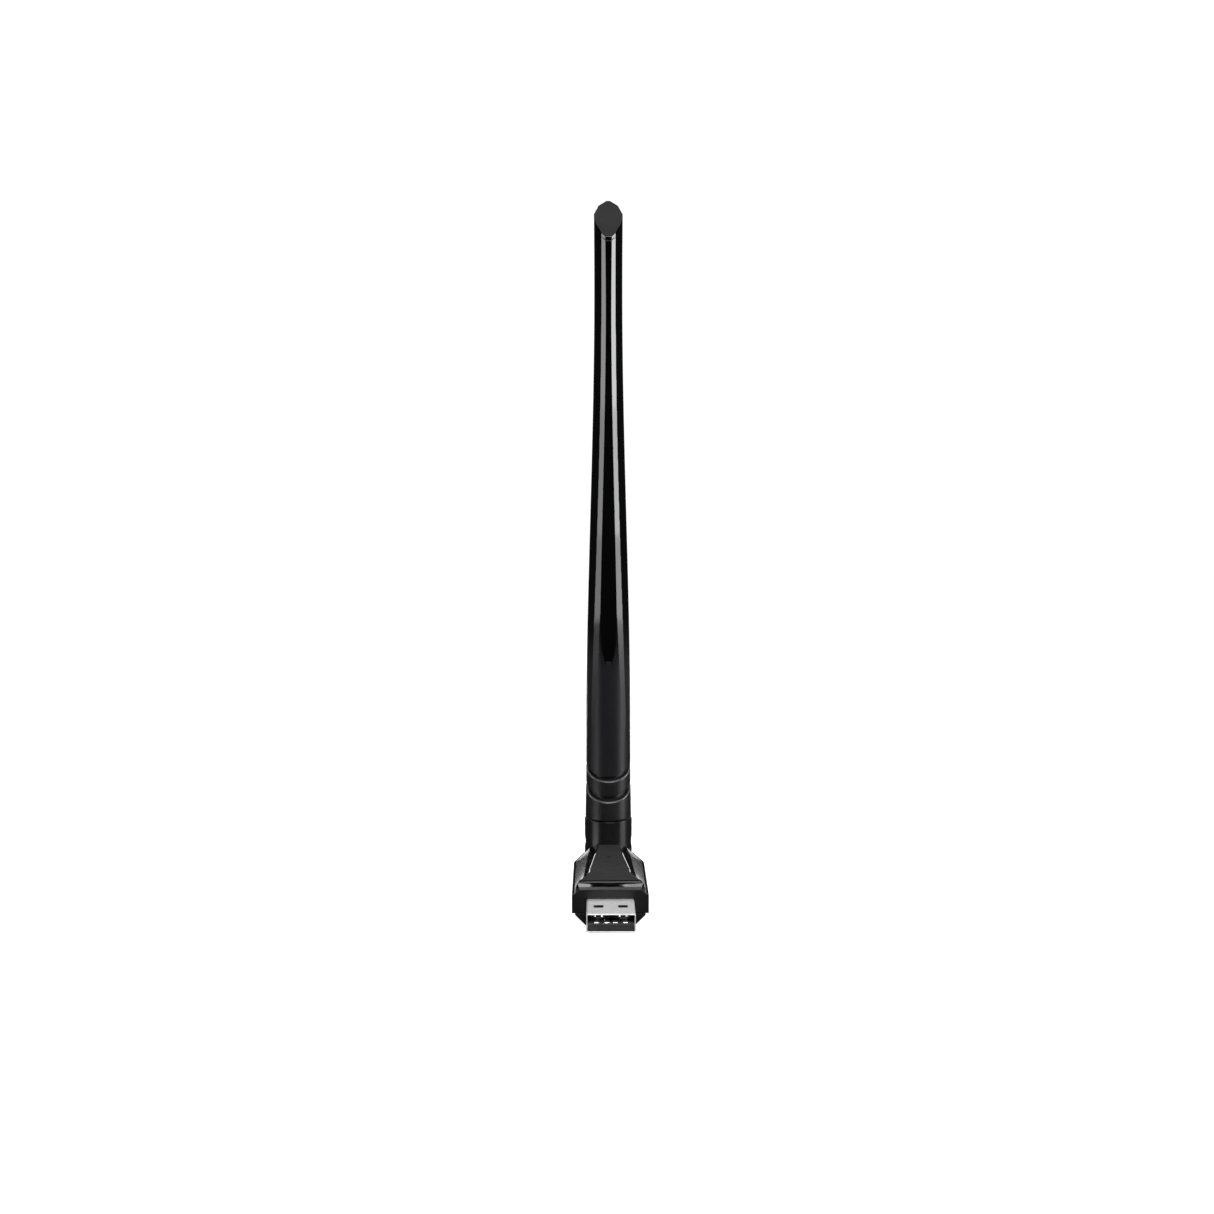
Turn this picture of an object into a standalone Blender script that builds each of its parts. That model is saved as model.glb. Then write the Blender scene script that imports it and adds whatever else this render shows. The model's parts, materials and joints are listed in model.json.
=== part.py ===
"""USB wireless adapter with a swivelling, folding stick antenna.

The origin is the centre of the plug, in the plane of the body's front face.
-Y points along the plug, +Z points up the antenna, +X is to the right of the plug's tip view.
"""

import math

import bmesh
import bpy
from mathutils import Matrix, Vector

MM = 0.001

# Plug: a standard type-A plug, which sets the scale of everything else.
PLUG_WIDTH = 12.0 * MM
PLUG_HEIGHT = 4.5 * MM
PLUG_LENGTH = 12.0 * MM
PLUG_ROOT = 4.0 * MM
PLUG_WALL = 0.3 * MM
PLUG_CORNER = 0.6 * MM
WINDOW_SIZE = (2.4 * MM, 2.0 * MM)
WINDOW_X = 3.0 * MM
WINDOW_Y = -5.8 * MM
TONGUE_TOP = -0.15 * MM
TONGUE_INSET = 0.25 * MM
PAD_X = (-3.5 * MM, -1.0 * MM, 1.0 * MM, 3.5 * MM)
PAD_WIDTH = 1.25 * MM
PAD_LENGTH = 2.7 * MM
SPRING_X = (-4.0 * MM, -2.0 * MM, 0.0, 2.0 * MM, 4.0 * MM)
SPRING_WIDTH = 0.7 * MM
SPRING_LENGTH = 4.0 * MM
SPRING_RISE = 0.45 * MM
CONTACT_THICK = 0.15 * MM
CONTACT_GAP = 0.05 * MM

# Body: a faceted upper shell over a smaller lower tray.
BODY_HALF = 9.7 * MM
BODY_LENGTH = 39.8 * MM
CORNER_CUT_Y = 30.0 * MM
REAR_HALF = 7.0 * MM
SPLIT_Z = -1.4 * MM
SPLIT_GAP = 0.1 * MM
SIDE_TOP_Z = 3.4 * MM
LEDGE_WIDTH = 0.6 * MM
LEDGE_Z = 3.5 * MM
FRONT_TOP_Z = 4.65 * MM
DECK_Z = 5.6 * MM
TRAY_INSET = 0.8 * MM
TRAY_CHAMFER = (2.5 * MM, 2.6 * MM)
BODY_BOTTOM = -4.5 * MM
WALL = 1.3 * MM
FLOOR_THICK = 1.0 * MM
PLUG_CLEAR = 0.2 * MM

# Raised plate on the deck: wide at the front, waisted, narrow at the rear.
PLATE_FRONT = (8.3 * MM, 3.0 * MM)
PLATE_FLARE = (6.65 * MM, 8.0 * MM)
PLATE_WAIST = (5.6 * MM, 12.6 * MM)
PLATE_REAR = (3.05 * MM, 38.3 * MM)
PLATE_TOP = 6.05 * MM
PLATE_THICK = 0.9 * MM
PLATE_GAP = 0.12 * MM

# Swivel: the antenna turns about the long axis of the body.
SWIVEL_Z = 0.4 * MM
SHAFT_R = 2.5 * MM
SHAFT_BORE_R = 1.2 * MM
SHAFT_START = 35.0 * MM
CLIP_GROOVE = (35.7 * MM, 36.5 * MM)
CLIP_GROOVE_R = 2.0 * MM
BUSH_R = 3.2 * MM
BUSH_FLANGE_R = 3.65 * MM
BOSS_R = 4.9 * MM
BOSS_START = 40.1 * MM

# Knuckle: an upright round block whose slot holds the antenna's tongue.
KNUCKLE_R = 6.8 * MM
KNUCKLE_Y = 47.0 * MM
KNUCKLE_TOP = 11.8 * MM
KNUCKLE_BOTTOM = -4.5 * MM
SLOT_HALF = 3.1 * MM
SLOT_FRONT = 43.3 * MM
SLOT_FLOOR = 1.1 * MM
FOLD_Z = 5.0 * MM
PIN_R = 1.0 * MM
PIN_HALF = 5.6 * MM
FOLD_BUSH_R = 1.7 * MM
RUNNING_GAP = 0.1 * MM

# Antenna: base, slanted ring, long cover and slanted tip.
TONGUE_HALF = 2.9 * MM
TONGUE_R = 3.5 * MM
BASE_R = 6.6 * MM
STEM_R = 6.4 * MM
BASE_BOTTOM = 12.05 * MM
SPIGOT_R = 5.3 * MM
SPIGOT_TOP = 36.0 * MM
BORE_R = 1.4 * MM
GROOVE_SLOPE = math.tan(math.radians(29))
BASE_EDGE = 17.5 * MM
RING_LOW = 19.2 * MM
RING_HIGH = 23.4 * MM
COVER_LOW = 24.8 * MM
RING_WALL_GAP = 0.15 * MM
TIP_SLOPE = math.tan(math.radians(50))
TIP_Z = 181.9 * MM
CAP_THICK = 1.2 * MM
CAP_GAP = 0.1 * MM
TIP_HALF = 3.85 * MM
TAPER_START = 32.0 * MM
TAPER_END = 162.0 * MM
FACET_START = 57.0 * MM
COVER_WALL = 1.3 * MM

# Electronics.
BOARD_TOP = -0.4 * MM
BOARD_THICK = 0.8 * MM
LED_Y = 25.0 * MM
LIGHT_PIPE_R = 0.45 * MM
COAX_R = 0.6 * MM

ROUND = 32


# ---------------------------------------------------------------- materials

def make_material(name, colour, roughness, metallic=0.0):
    material = bpy.data.materials.new(name)
    material.use_nodes = True
    shader = material.node_tree.nodes["Principled BSDF"]
    shader.inputs["Base Color"].default_value = (*colour, 1.0)
    shader.inputs["Roughness"].default_value = roughness
    shader.inputs["Metallic"].default_value = metallic
    material.diffuse_color = (*colour, 1.0)
    return material


def make_materials():
    return {
        "satin": make_material("satin_black", (0.018, 0.018, 0.019), 0.42),
        "gloss": make_material("gloss_black", (0.006, 0.006, 0.007), 0.12),
        "matte": make_material("matte_grey_black", (0.042, 0.042, 0.043), 0.62),
        "nickel": make_material("nickel_plate", (0.62, 0.62, 0.63), 0.28, 1.0),
        "gold": make_material("gold_plate", (0.83, 0.62, 0.28), 0.3, 1.0),
        "steel": make_material("spring_steel", (0.5, 0.5, 0.51), 0.35, 1.0),
        "insulator": make_material("black_insulator", (0.02, 0.02, 0.021), 0.5),
        "board": make_material("green_board", (0.015, 0.09, 0.04), 0.45),
        "chip": make_material("chip_black", (0.02, 0.02, 0.022), 0.6),
        "light": make_material("clear_light_pipe", (0.75, 0.78, 0.75), 0.2),
        "bush": make_material("white_bush", (0.75, 0.74, 0.7), 0.45),
        "lead": make_material("coax_jacket", (0.03, 0.03, 0.03), 0.5),
    }


# ------------------------------------------------------------ mesh building

def finish(name, bm, material, smooth=True):
    """Turn a bmesh into a linked object with outward faces."""
    bmesh.ops.remove_doubles(bm, verts=bm.verts, dist=1e-7)
    bmesh.ops.recalc_face_normals(bm, faces=bm.faces)
    mesh = bpy.data.meshes.new(name)
    bm.to_mesh(mesh)
    bm.free()
    if smooth:
        mesh.shade_smooth()
        mesh.set_sharp_from_angle(angle=math.radians(30))
    if material is not None:
        mesh.materials.append(material)
    item = bpy.data.objects.new(name, mesh)
    bpy.context.collection.objects.link(item)
    return item


def loft(sections):
    """Skin loops of equal length and cap both ends."""
    bm = bmesh.new()
    rings = [[bm.verts.new(point) for point in section] for section in sections]
    for lower, upper in zip(rings, rings[1:]):
        count = len(lower)
        for i in range(count):
            j = (i + 1) % count
            bm.faces.new((lower[i], lower[j], upper[j], upper[i]))
    bm.faces.new(tuple(reversed(rings[0])))
    bm.faces.new(tuple(rings[-1]))
    return bm


def box(low, high):
    x0, y0, z0 = low
    x1, y1, z1 = high
    bottom = [(x0, y0, z0), (x1, y0, z0), (x1, y1, z0), (x0, y1, z0)]
    top = [(x, y, z1) for x, y, _ in bottom]
    return loft([bottom, top])


def mirrored(half):
    """Close a half outline, given for x >= 0, across x = 0."""
    return half + [(-x, other) for x, other in reversed(half)]


def rounded_rectangle(half_width, half_height, corner, steps=4):
    centres = ((1, 1), (-1, 1), (-1, -1), (1, -1))
    points = []
    for quarter, (sx, sz) in enumerate(centres):
        cx = sx * (half_width - corner)
        cz = sz * (half_height - corner)
        for step in range(steps + 1):
            turn = math.radians(90) * (quarter + step / steps)
            points.append((cx + corner * math.cos(turn), cz + corner * math.sin(turn)))
    return points


def along_y(outline, y):
    return [(x, y, z) for x, z in outline]


def along_z(outline, z):
    return [(x, y, z) for x, y in outline]


def circle(radius, count=ROUND):
    turns = [math.tau * i / count for i in range(count)]
    return [(radius * math.cos(turn), radius * math.sin(turn)) for turn in turns]


def frame_point(axis, centre, a, b, distance):
    """Place a point at a, b across an axis and at a distance along it."""
    cx, cy, cz = centre
    if axis == "X":
        return (distance, cy + a, cz + b)
    if axis == "Y":
        return (cx + a, distance, cz + b)
    return (cx + a, cy + b, distance)


def turned(axis, centre, profile, count=ROUND):
    """A solid of revolution from (distance, radius) pairs along an axis."""
    sections = []
    for distance, radius in profile:
        loop = [frame_point(axis, centre, a, b, distance) for a, b in circle(radius, count)]
        sections.append(loop)
    return loft(sections)


def ring(axis, centre, profile, start=0.0, sweep=math.tau, count=ROUND):
    """A closed profile of (distance, radius) pairs swept round an axis."""
    whole = abs(sweep - math.tau) < 1e-6
    stops = count if whole else count + 1
    bm = bmesh.new()
    loops = []
    for i in range(stops):
        turn = start + sweep * i / count
        loop = []
        for distance, radius in profile:
            a = radius * math.cos(turn)
            b = radius * math.sin(turn)
            loop.append(bm.verts.new(frame_point(axis, centre, a, b, distance)))
        loops.append(loop)
    pairs = list(zip(loops, loops[1:]))
    if whole:
        pairs.append((loops[-1], loops[0]))
    size = len(profile)
    for first, second in pairs:
        for i in range(size):
            j = (i + 1) % size
            bm.faces.new((first[i], first[j], second[j], second[i]))
    if not whole:
        bm.faces.new(loops[0])
        bm.faces.new(tuple(reversed(loops[-1])))
    return bm


def washer_profile(y0, y1, inner, outer):
    return [(y0, inner), (y0, outer), (y1, outer), (y1, inner)]


def slice_below(bm, point, normal):
    """Remove what lies on the normal's side of a plane and close the cut."""
    geometry = list(bm.verts) + list(bm.edges) + list(bm.faces)
    result = bmesh.ops.bisect_plane(
        bm, geom=geometry, dist=1e-7, plane_co=point, plane_no=normal, clear_outer=True)
    edges = [item for item in result["geom_cut"] if isinstance(item, bmesh.types.BMEdge)]
    bmesh.ops.contextual_create(bm, geom=edges)


def combine(target, tool, operation="DIFFERENCE"):
    """Apply a hidden tool object to a target with an exact Boolean."""
    tool.hide_render = True
    tool.display_type = "WIRE"
    modifier = target.modifiers.new(tool.name, "BOOLEAN")
    modifier.operation = operation
    modifier.object = tool
    modifier.solver = "EXACT"


def cut_box(target, name, low, high):
    combine(target, finish(name, box(low, high), None, smooth=False))


def attach(item, axis):
    """Parent a piece to a joint's empty without moving it."""
    item.parent = axis
    item.matrix_parent_inverse = Matrix.Translation(-axis.matrix_world.translation)
    return item


def make_axis(name, location, parent=None):
    axis = bpy.data.objects.new(name, None)
    axis.empty_display_size = 5 * MM
    bpy.context.collection.objects.link(axis)
    if parent is None:
        axis.location = location
    else:
        axis.parent = parent
        axis.location = Vector(location) - parent.location
    bpy.context.view_layer.update()
    return axis


# --------------------------------------------------------------------- plug

def make_plug(finishes):
    half_w = PLUG_WIDTH / 2
    half_h = PLUG_HEIGHT / 2
    outer = rounded_rectangle(half_w, half_h, PLUG_CORNER)
    shell = finish("usb_shell", loft([along_y(outer, -PLUG_LENGTH), along_y(outer, PLUG_ROOT)]),
                   finishes["nickel"])
    inner = rounded_rectangle(half_w - PLUG_WALL, half_h - PLUG_WALL, PLUG_CORNER - PLUG_WALL)
    reach = 1 * MM
    bore = loft([along_y(inner, -PLUG_LENGTH - reach), along_y(inner, PLUG_ROOT + reach)])
    combine(shell, finish("usb_shell_bore", bore, None))
    for side in (-1, 1):
        x = side * WINDOW_X
        low = (x - WINDOW_SIZE[0] / 2, WINDOW_Y - WINDOW_SIZE[1] / 2, -PLUG_HEIGHT)
        high = (x + WINDOW_SIZE[0] / 2, WINDOW_Y + WINDOW_SIZE[1] / 2, PLUG_HEIGHT)
        cut_box(shell, "usb_window_tool", low, high)

    inside = half_w - PLUG_WALL - CONTACT_GAP
    floor = -half_h + PLUG_WALL + CONTACT_GAP
    corner = PLUG_CORNER - PLUG_WALL
    outline = mirrored([(inside - corner, floor), (inside, floor + corner), (inside, TONGUE_TOP)])
    tongue = loft([along_y(outline, -PLUG_LENGTH + TONGUE_INSET), along_y(outline, PLUG_ROOT)])
    finish("usb_insulator", tongue, finishes["insulator"], smooth=False)

    seat = TONGUE_TOP + CONTACT_GAP
    pad_front = -PLUG_LENGTH + 3 * TONGUE_INSET
    for number, x in enumerate(PAD_X, start=1):
        low = (x - PAD_WIDTH / 2, pad_front, seat)
        high = (x + PAD_WIDTH / 2, pad_front + PAD_LENGTH, seat + CONTACT_THICK)
        finish(f"usb_contact_{number}", box(low, high), finishes["gold"], smooth=False)
    for number, x in enumerate(SPRING_X, start=1):
        make_spring_contact(f"fast_contact_{number}", x, seat, finishes["gold"])


def make_spring_contact(name, x, seat, material):
    """A leaf that rises to a rounded nose and falls back to the tongue."""
    front = -PLUG_LENGTH + 3 * TONGUE_INSET + PAD_LENGTH + 3 * CONTACT_THICK
    sections = []
    steps = 8
    for step in range(steps + 1):
        part = step / steps
        y = front + SPRING_LENGTH * part
        lift = SPRING_RISE * math.sin(math.pi * min(part * 1.6, 1.0))
        z = seat + lift
        low_x = x - SPRING_WIDTH / 2
        high_x = x + SPRING_WIDTH / 2
        sections.append([(low_x, y, z), (high_x, y, z), (high_x, y, z + CONTACT_THICK),
                         (low_x, y, z + CONTACT_THICK)])
    finish(name, loft(sections), material)


# --------------------------------------------------------------------- body

def top_section(y, half, shoulder, edge):
    """One cross-section of the upper shell: side, ledge, outer facet, deck."""
    outline = mirrored([
        (half, SPLIT_Z),
        (half, SIDE_TOP_Z),
        (half - LEDGE_WIDTH, LEDGE_Z),
        shoulder,
        edge,
    ])
    return along_y(outline, y)


def make_top_cover(finishes):
    deck_lip = 0.25 * MM
    sections = [
        top_section(0, BODY_HALF, (7.9 * MM, FRONT_TOP_Z - 0.05 * MM), (7.6 * MM, FRONT_TOP_Z)),
        top_section(PLATE_FRONT[1], BODY_HALF,
                    (PLATE_FRONT[0] + deck_lip, 5.35 * MM), (PLATE_FRONT[0], DECK_Z)),
        top_section(PLATE_FLARE[1], BODY_HALF,
                    (PLATE_FLARE[0] + deck_lip, 5.45 * MM), (PLATE_FLARE[0], DECK_Z)),
        top_section(PLATE_WAIST[1], BODY_HALF, (6.6 * MM, 5.35 * MM), (PLATE_WAIST[0], DECK_Z)),
        top_section(CORNER_CUT_Y, BODY_HALF, (5.9 * MM, 5.1 * MM), (3.95 * MM, DECK_Z)),
        top_section(BODY_LENGTH, REAR_HALF, (5.1 * MM, 4.9 * MM), (2.95 * MM, DECK_Z)),
    ]
    cover = finish("top_cover", loft(sections), finishes["gloss"], smooth=False)

    roof = 4.15 * MM
    spring = 2.4 * MM
    run = 2.8 * MM
    cavity = []
    rear_inner = REAR_HALF - WALL + 0.2 * MM
    front_inner = BODY_HALF - WALL - 0.2 * MM
    for y, half in ((WALL, front_inner), (CORNER_CUT_Y, front_inner), (BODY_LENGTH - WALL, rear_inner)):
        outline = mirrored([(half, SPLIT_Z - 1 * MM), (half, spring), (half - run, roof)])
        cavity.append(along_y(outline, y))
    combine(cover, finish("top_cavity_tool", loft(cavity), None, smooth=False))

    recess = plate_outline(PLATE_GAP)
    recess_floor = PLATE_TOP - PLATE_THICK - PLATE_GAP
    tool = loft([along_z(recess, recess_floor), along_z(recess, PLATE_TOP + 1 * MM)])
    combine(cover, finish("plate_recess_tool", tool, None, smooth=False))
    cut_for_plug(cover, "top_plug_tool")
    cut_for_bush(cover, "top_bush_tool")
    pipe_hole = turned("Z", (0, LED_Y, 0), [(1 * MM, LIGHT_PIPE_R + RUNNING_GAP),
                                           (8 * MM, LIGHT_PIPE_R + RUNNING_GAP)], 16)
    combine(cover, finish("top_pipe_tool", pipe_hole, None))
    return cover


def plate_outline(grow=0.0):
    """The plate seen from above, grown outwards by an even amount."""
    front_x, front_y = PLATE_FRONT
    half = [
        (front_x + grow, front_y - grow),
        (PLATE_FLARE[0] + grow, PLATE_FLARE[1]),
        (PLATE_WAIST[0] + grow, PLATE_WAIST[1]),
        (PLATE_REAR[0] + grow, PLATE_REAR[1] + grow),
    ]
    return mirrored(half)


def make_top_plate(finishes):
    outline = plate_outline()
    low = PLATE_TOP - PLATE_THICK
    plate = finish("top_plate", loft([along_z(outline, low), along_z(outline, PLATE_TOP)]),
                   finishes["matte"], smooth=False)
    bevel = plate.modifiers.new("edge", "BEVEL")
    bevel.width = 0.25 * MM
    bevel.segments = 1
    bevel.limit_method = "ANGLE"
    pipe_hole = turned("Z", (0, LED_Y, 0), [(low - 1 * MM, LIGHT_PIPE_R + RUNNING_GAP),
                                           (8 * MM, LIGHT_PIPE_R + RUNNING_GAP)], 16)
    combine(plate, finish("plate_pipe_tool", pipe_hole, None))
    return plate


def cut_for_plug(shell, name):
    half_w = PLUG_WIDTH / 2 + PLUG_CLEAR
    half_h = PLUG_HEIGHT / 2 + PLUG_CLEAR
    cut_box(shell, name, (-half_w, -1 * MM, -half_h), (half_w, WALL + 1 * MM, half_h))


def cut_for_bush(shell, name):
    radius = BUSH_R + RUNNING_GAP
    start = BODY_LENGTH - WALL - 1 * MM
    tool = turned("Y", (0, 0, SWIVEL_Z), [(start, radius), (BODY_LENGTH + 1 * MM, radius)])
    combine(shell, finish(name, tool, None))


def tray_section(y, half):
    top = SPLIT_Z - SPLIT_GAP
    knee = BODY_BOTTOM + TRAY_CHAMFER[1]
    outline = mirrored([
        (half - TRAY_CHAMFER[0] - 0.3 * MM, BODY_BOTTOM),
        (half - TRAY_CHAMFER[0], BODY_BOTTOM + 0.2 * MM),
        (half, knee + 0.2 * MM),
        (half, top),
    ])
    return along_y(outline, y)


def make_bottom_tray(finishes):
    front = BODY_HALF - TRAY_INSET
    rear = REAR_HALF - TRAY_INSET
    sections = [tray_section(0, front), tray_section(CORNER_CUT_Y, front),
                tray_section(BODY_LENGTH, rear)]
    tray = finish("bottom_tray", loft(sections), finishes["satin"], smooth=False)
    cavity = []
    floor = BODY_BOTTOM + FLOOR_THICK
    for y, half in ((WALL, front), (CORNER_CUT_Y, front), (BODY_LENGTH - WALL, rear)):
        inner = half - FLOOR_THICK
        outline = mirrored([(inner - TRAY_CHAMFER[0] + 0.6 * MM, floor),
                            (inner, floor + TRAY_CHAMFER[1] - 0.9 * MM),
                            (inner, SPLIT_Z + 1 * MM)])
        cavity.append(along_y(outline, y))
    combine(tray, finish("tray_cavity_tool", loft(cavity), None, smooth=False))
    cut_for_plug(tray, "tray_plug_tool")
    cut_for_bush(tray, "tray_bush_tool")
    return tray


# -------------------------------------------------------------- electronics

def make_electronics(finishes):
    bottom = BOARD_TOP - BOARD_THICK
    board_rear = 34.4 * MM
    finish("main_board", box((-7.0 * MM, PLUG_ROOT + 0.3 * MM, bottom), (7.0 * MM, board_rear, BOARD_TOP)),
           finishes["board"], smooth=False)
    seat = BOARD_TOP + 0.1 * MM
    finish("radio_chip", box((-2.6 * MM, 11.4 * MM, seat), (2.6 * MM, 16.6 * MM, seat + 0.8 * MM)),
           finishes["chip"], smooth=False)

    can_half = 5.6 * MM
    can_y = (8.0 * MM, 20.0 * MM)
    can_top = seat + 1.7 * MM
    can = finish("shield_can", box((-can_half, can_y[0], seat), (can_half, can_y[1], can_top)),
                 finishes["nickel"], smooth=False)
    sheet = 0.2 * MM
    cut_box(can, "can_tool", (-can_half + sheet, can_y[0] + sheet, seat - 1 * MM),
            (can_half - sheet, can_y[1] - sheet, can_top - sheet))

    chips = (
        ("memory_chip", (2.6 * MM, 21.2 * MM), (5.6 * MM, 24.2 * MM), 0.9 * MM, "chip"),
        ("crystal", (-6.0 * MM, 21.4 * MM), (-2.8 * MM, 23.9 * MM), 0.7 * MM, "nickel"),
        ("power_inductor", (-6.2 * MM, 26.6 * MM), (-3.4 * MM, 29.4 * MM), 1.2 * MM, "chip"),
        ("led", (-0.8 * MM, LED_Y - 0.4 * MM), (0.8 * MM, LED_Y + 0.4 * MM), 0.6 * MM, "light"),
    )
    for name, low, high, tall, kind in chips:
        finish(name, box((*low, seat), (*high, seat + tall)), finishes[kind], smooth=False)

    pipe_low = seat + 0.7 * MM
    finish("led_light_pipe", turned("Z", (0, LED_Y, 0), [(pipe_low, LIGHT_PIPE_R),
                                                        (PLATE_TOP, LIGHT_PIPE_R)], 16),
           finishes["light"])
    finish("coax_connector", turned("Z", (3.0 * MM, 30.0 * MM, 0),
                                    [(seat, 1.3 * MM), (seat + 1.1 * MM, 1.3 * MM)], 20),
           finishes["gold"])


def make_lead(name, points, material):
    """A round lead through a smooth curve of its route's own points."""
    dense = smooth_route([Vector(point) for point in points], 5)
    curve = bpy.data.curves.new(name, "CURVE")
    curve.dimensions = "3D"
    curve.bevel_depth = COAX_R
    curve.bevel_resolution = 2
    curve.use_fill_caps = True
    spline = curve.splines.new("POLY")
    spline.points.add(len(dense) - 1)
    for slot, point in zip(spline.points, dense):
        slot.co = (*point, 1.0)
    curve.materials.append(material)
    item = bpy.data.objects.new(name, curve)
    bpy.context.collection.objects.link(item)
    return item


def smooth_route(points, steps):
    """Catmull-Rom curve through the points."""
    ends = [points[0] * 2 - points[1]] + points + [points[-1] * 2 - points[-2]]
    dense = []
    for a, b, c, d in zip(ends, ends[1:], ends[2:], ends[3:]):
        for step in range(steps):
            t = step / steps
            dense.append(0.5 * (2 * b + (c - a) * t + (2 * a - 5 * b + 4 * c - d) * t * t
                                + (3 * b - a - 3 * c + d) * t ** 3))
    dense.append(points[-1])
    return dense


# -------------------------------------------------------------------- swivel

def make_swivel_seat(finishes):
    """Bush in the body's rear wall, which the knuckle's shaft turns in."""
    inner_wall = BODY_LENGTH - WALL
    bore = SHAFT_R + RUNNING_GAP
    profile = [
        (inner_wall - 0.9 * MM, bore),
        (inner_wall - 0.9 * MM, BUSH_FLANGE_R),
        (inner_wall - RUNNING_GAP, BUSH_FLANGE_R),
        (inner_wall - RUNNING_GAP, BUSH_R),
        (BODY_LENGTH, BUSH_R),
        (BODY_LENGTH, bore),
    ]
    finish("swivel_bush", ring("Y", (0, 0, SWIVEL_Z), profile), finishes["bush"])


def make_swivel_hardware(finishes, swivel):
    centre = (0, 0, SWIVEL_Z)
    washer = washer_profile(36.6 * MM, 37.4 * MM, SHAFT_R + RUNNING_GAP, 3.5 * MM)
    attach(finish("friction_washer", ring("Y", centre, washer), finishes["steel"]), swivel)
    clip = washer_profile(CLIP_GROOVE[0] + RUNNING_GAP, CLIP_GROOVE[1] - RUNNING_GAP,
                          CLIP_GROOVE_R + RUNNING_GAP, 3.4 * MM)
    opening = math.radians(80)
    start = math.radians(-90) + opening / 2
    arc = ring("Y", centre, clip, start=start, sweep=math.tau - opening, count=24)
    attach(finish("retaining_clip", arc, finishes["steel"]), swivel)


def make_knuckle(finishes, swivel):
    """Upright cylinder with a front boss and shaft, slotted for the tongue."""
    centre = (0, KNUCKLE_Y, 0)
    bevel = 1.2 * MM
    profile = [(KNUCKLE_BOTTOM, KNUCKLE_R - bevel), (KNUCKLE_BOTTOM + bevel, KNUCKLE_R),
               (KNUCKLE_TOP + 2 * MM, KNUCKLE_R)]
    knuckle = finish("swivel_knuckle", turned("Z", centre, profile, 48), finishes["gloss"])

    side = [(KNUCKLE_Y - 2 * KNUCKLE_R, KNUCKLE_BOTTOM - 1 * MM),
            (KNUCKLE_Y + KNUCKLE_R + 1 * MM, KNUCKLE_BOTTOM - 1 * MM)]
    reach = KNUCKLE_TOP - FOLD_Z
    steps = 12
    for step in range(steps + 1):
        turn = math.radians(90) * step / steps
        side.append((KNUCKLE_Y + reach * math.cos(turn), FOLD_Z + reach * math.sin(turn)))
    side.append((KNUCKLE_Y - 2 * KNUCKLE_R, KNUCKLE_TOP))
    wide = 2 * KNUCKLE_R
    tool = loft([[(x, y, z) for y, z in side] for x in (-wide, wide)])
    combine(knuckle, finish("knuckle_side_tool", tool, None), "INTERSECT")

    shaft = turned("Y", (0, 0, SWIVEL_Z), [
        (SHAFT_START, SHAFT_R - 0.3 * MM),
        (SHAFT_START + 0.3 * MM, SHAFT_R),
        (CLIP_GROOVE[0], SHAFT_R),
        (CLIP_GROOVE[0] + 0.001 * MM, CLIP_GROOVE_R),
        (CLIP_GROOVE[1], CLIP_GROOVE_R),
        (CLIP_GROOVE[1] + 0.001 * MM, SHAFT_R),
        (BOSS_START, SHAFT_R),
        (BOSS_START + 0.001 * MM, BOSS_R),
        (KNUCKLE_Y - 3.2 * MM, BOSS_R),
    ], 32)
    combine(knuckle, finish("shaft_tool", shaft, None), "UNION")

    slot_low = (-SLOT_HALF, SLOT_FRONT, SLOT_FLOOR)
    slot_high = (SLOT_HALF, KNUCKLE_Y + 2 * KNUCKLE_R, KNUCKLE_TOP + 3 * MM)
    cut_box(knuckle, "slot_tool", slot_low, slot_high)
    bore = turned("Y", (0, 0, SWIVEL_Z), [(SHAFT_START - 1 * MM, SHAFT_BORE_R),
                                          (SLOT_FRONT + 1.8 * MM, SHAFT_BORE_R)], 20)
    combine(knuckle, finish("shaft_bore_tool", bore, None))
    pin_hole = turned("X", (0, KNUCKLE_Y, FOLD_Z), [(-wide, PIN_R + RUNNING_GAP),
                                                    (wide, PIN_R + RUNNING_GAP)], 24)
    combine(knuckle, finish("pin_hole_tool", pin_hole, None))
    attach(knuckle, swivel)

    pin = turned("X", (0, KNUCKLE_Y, FOLD_Z), [(-PIN_HALF, PIN_R), (PIN_HALF, PIN_R)], 24)
    attach(finish("fold_pin", pin, finishes["steel"]), swivel)


# ------------------------------------------------------------------- antenna

def slant(front_height):
    """A point and normal of a groove plane that rises towards the rear."""
    point = Vector((0, KNUCKLE_Y - STEM_R, front_height))
    normal = Vector((0, -GROOVE_SLOPE, 1)).normalized()
    return point, normal


def stem(radius, low, high):
    return turned("Z", (0, KNUCKLE_Y, 0), [(low, radius), (high, radius)], 48)


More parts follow.
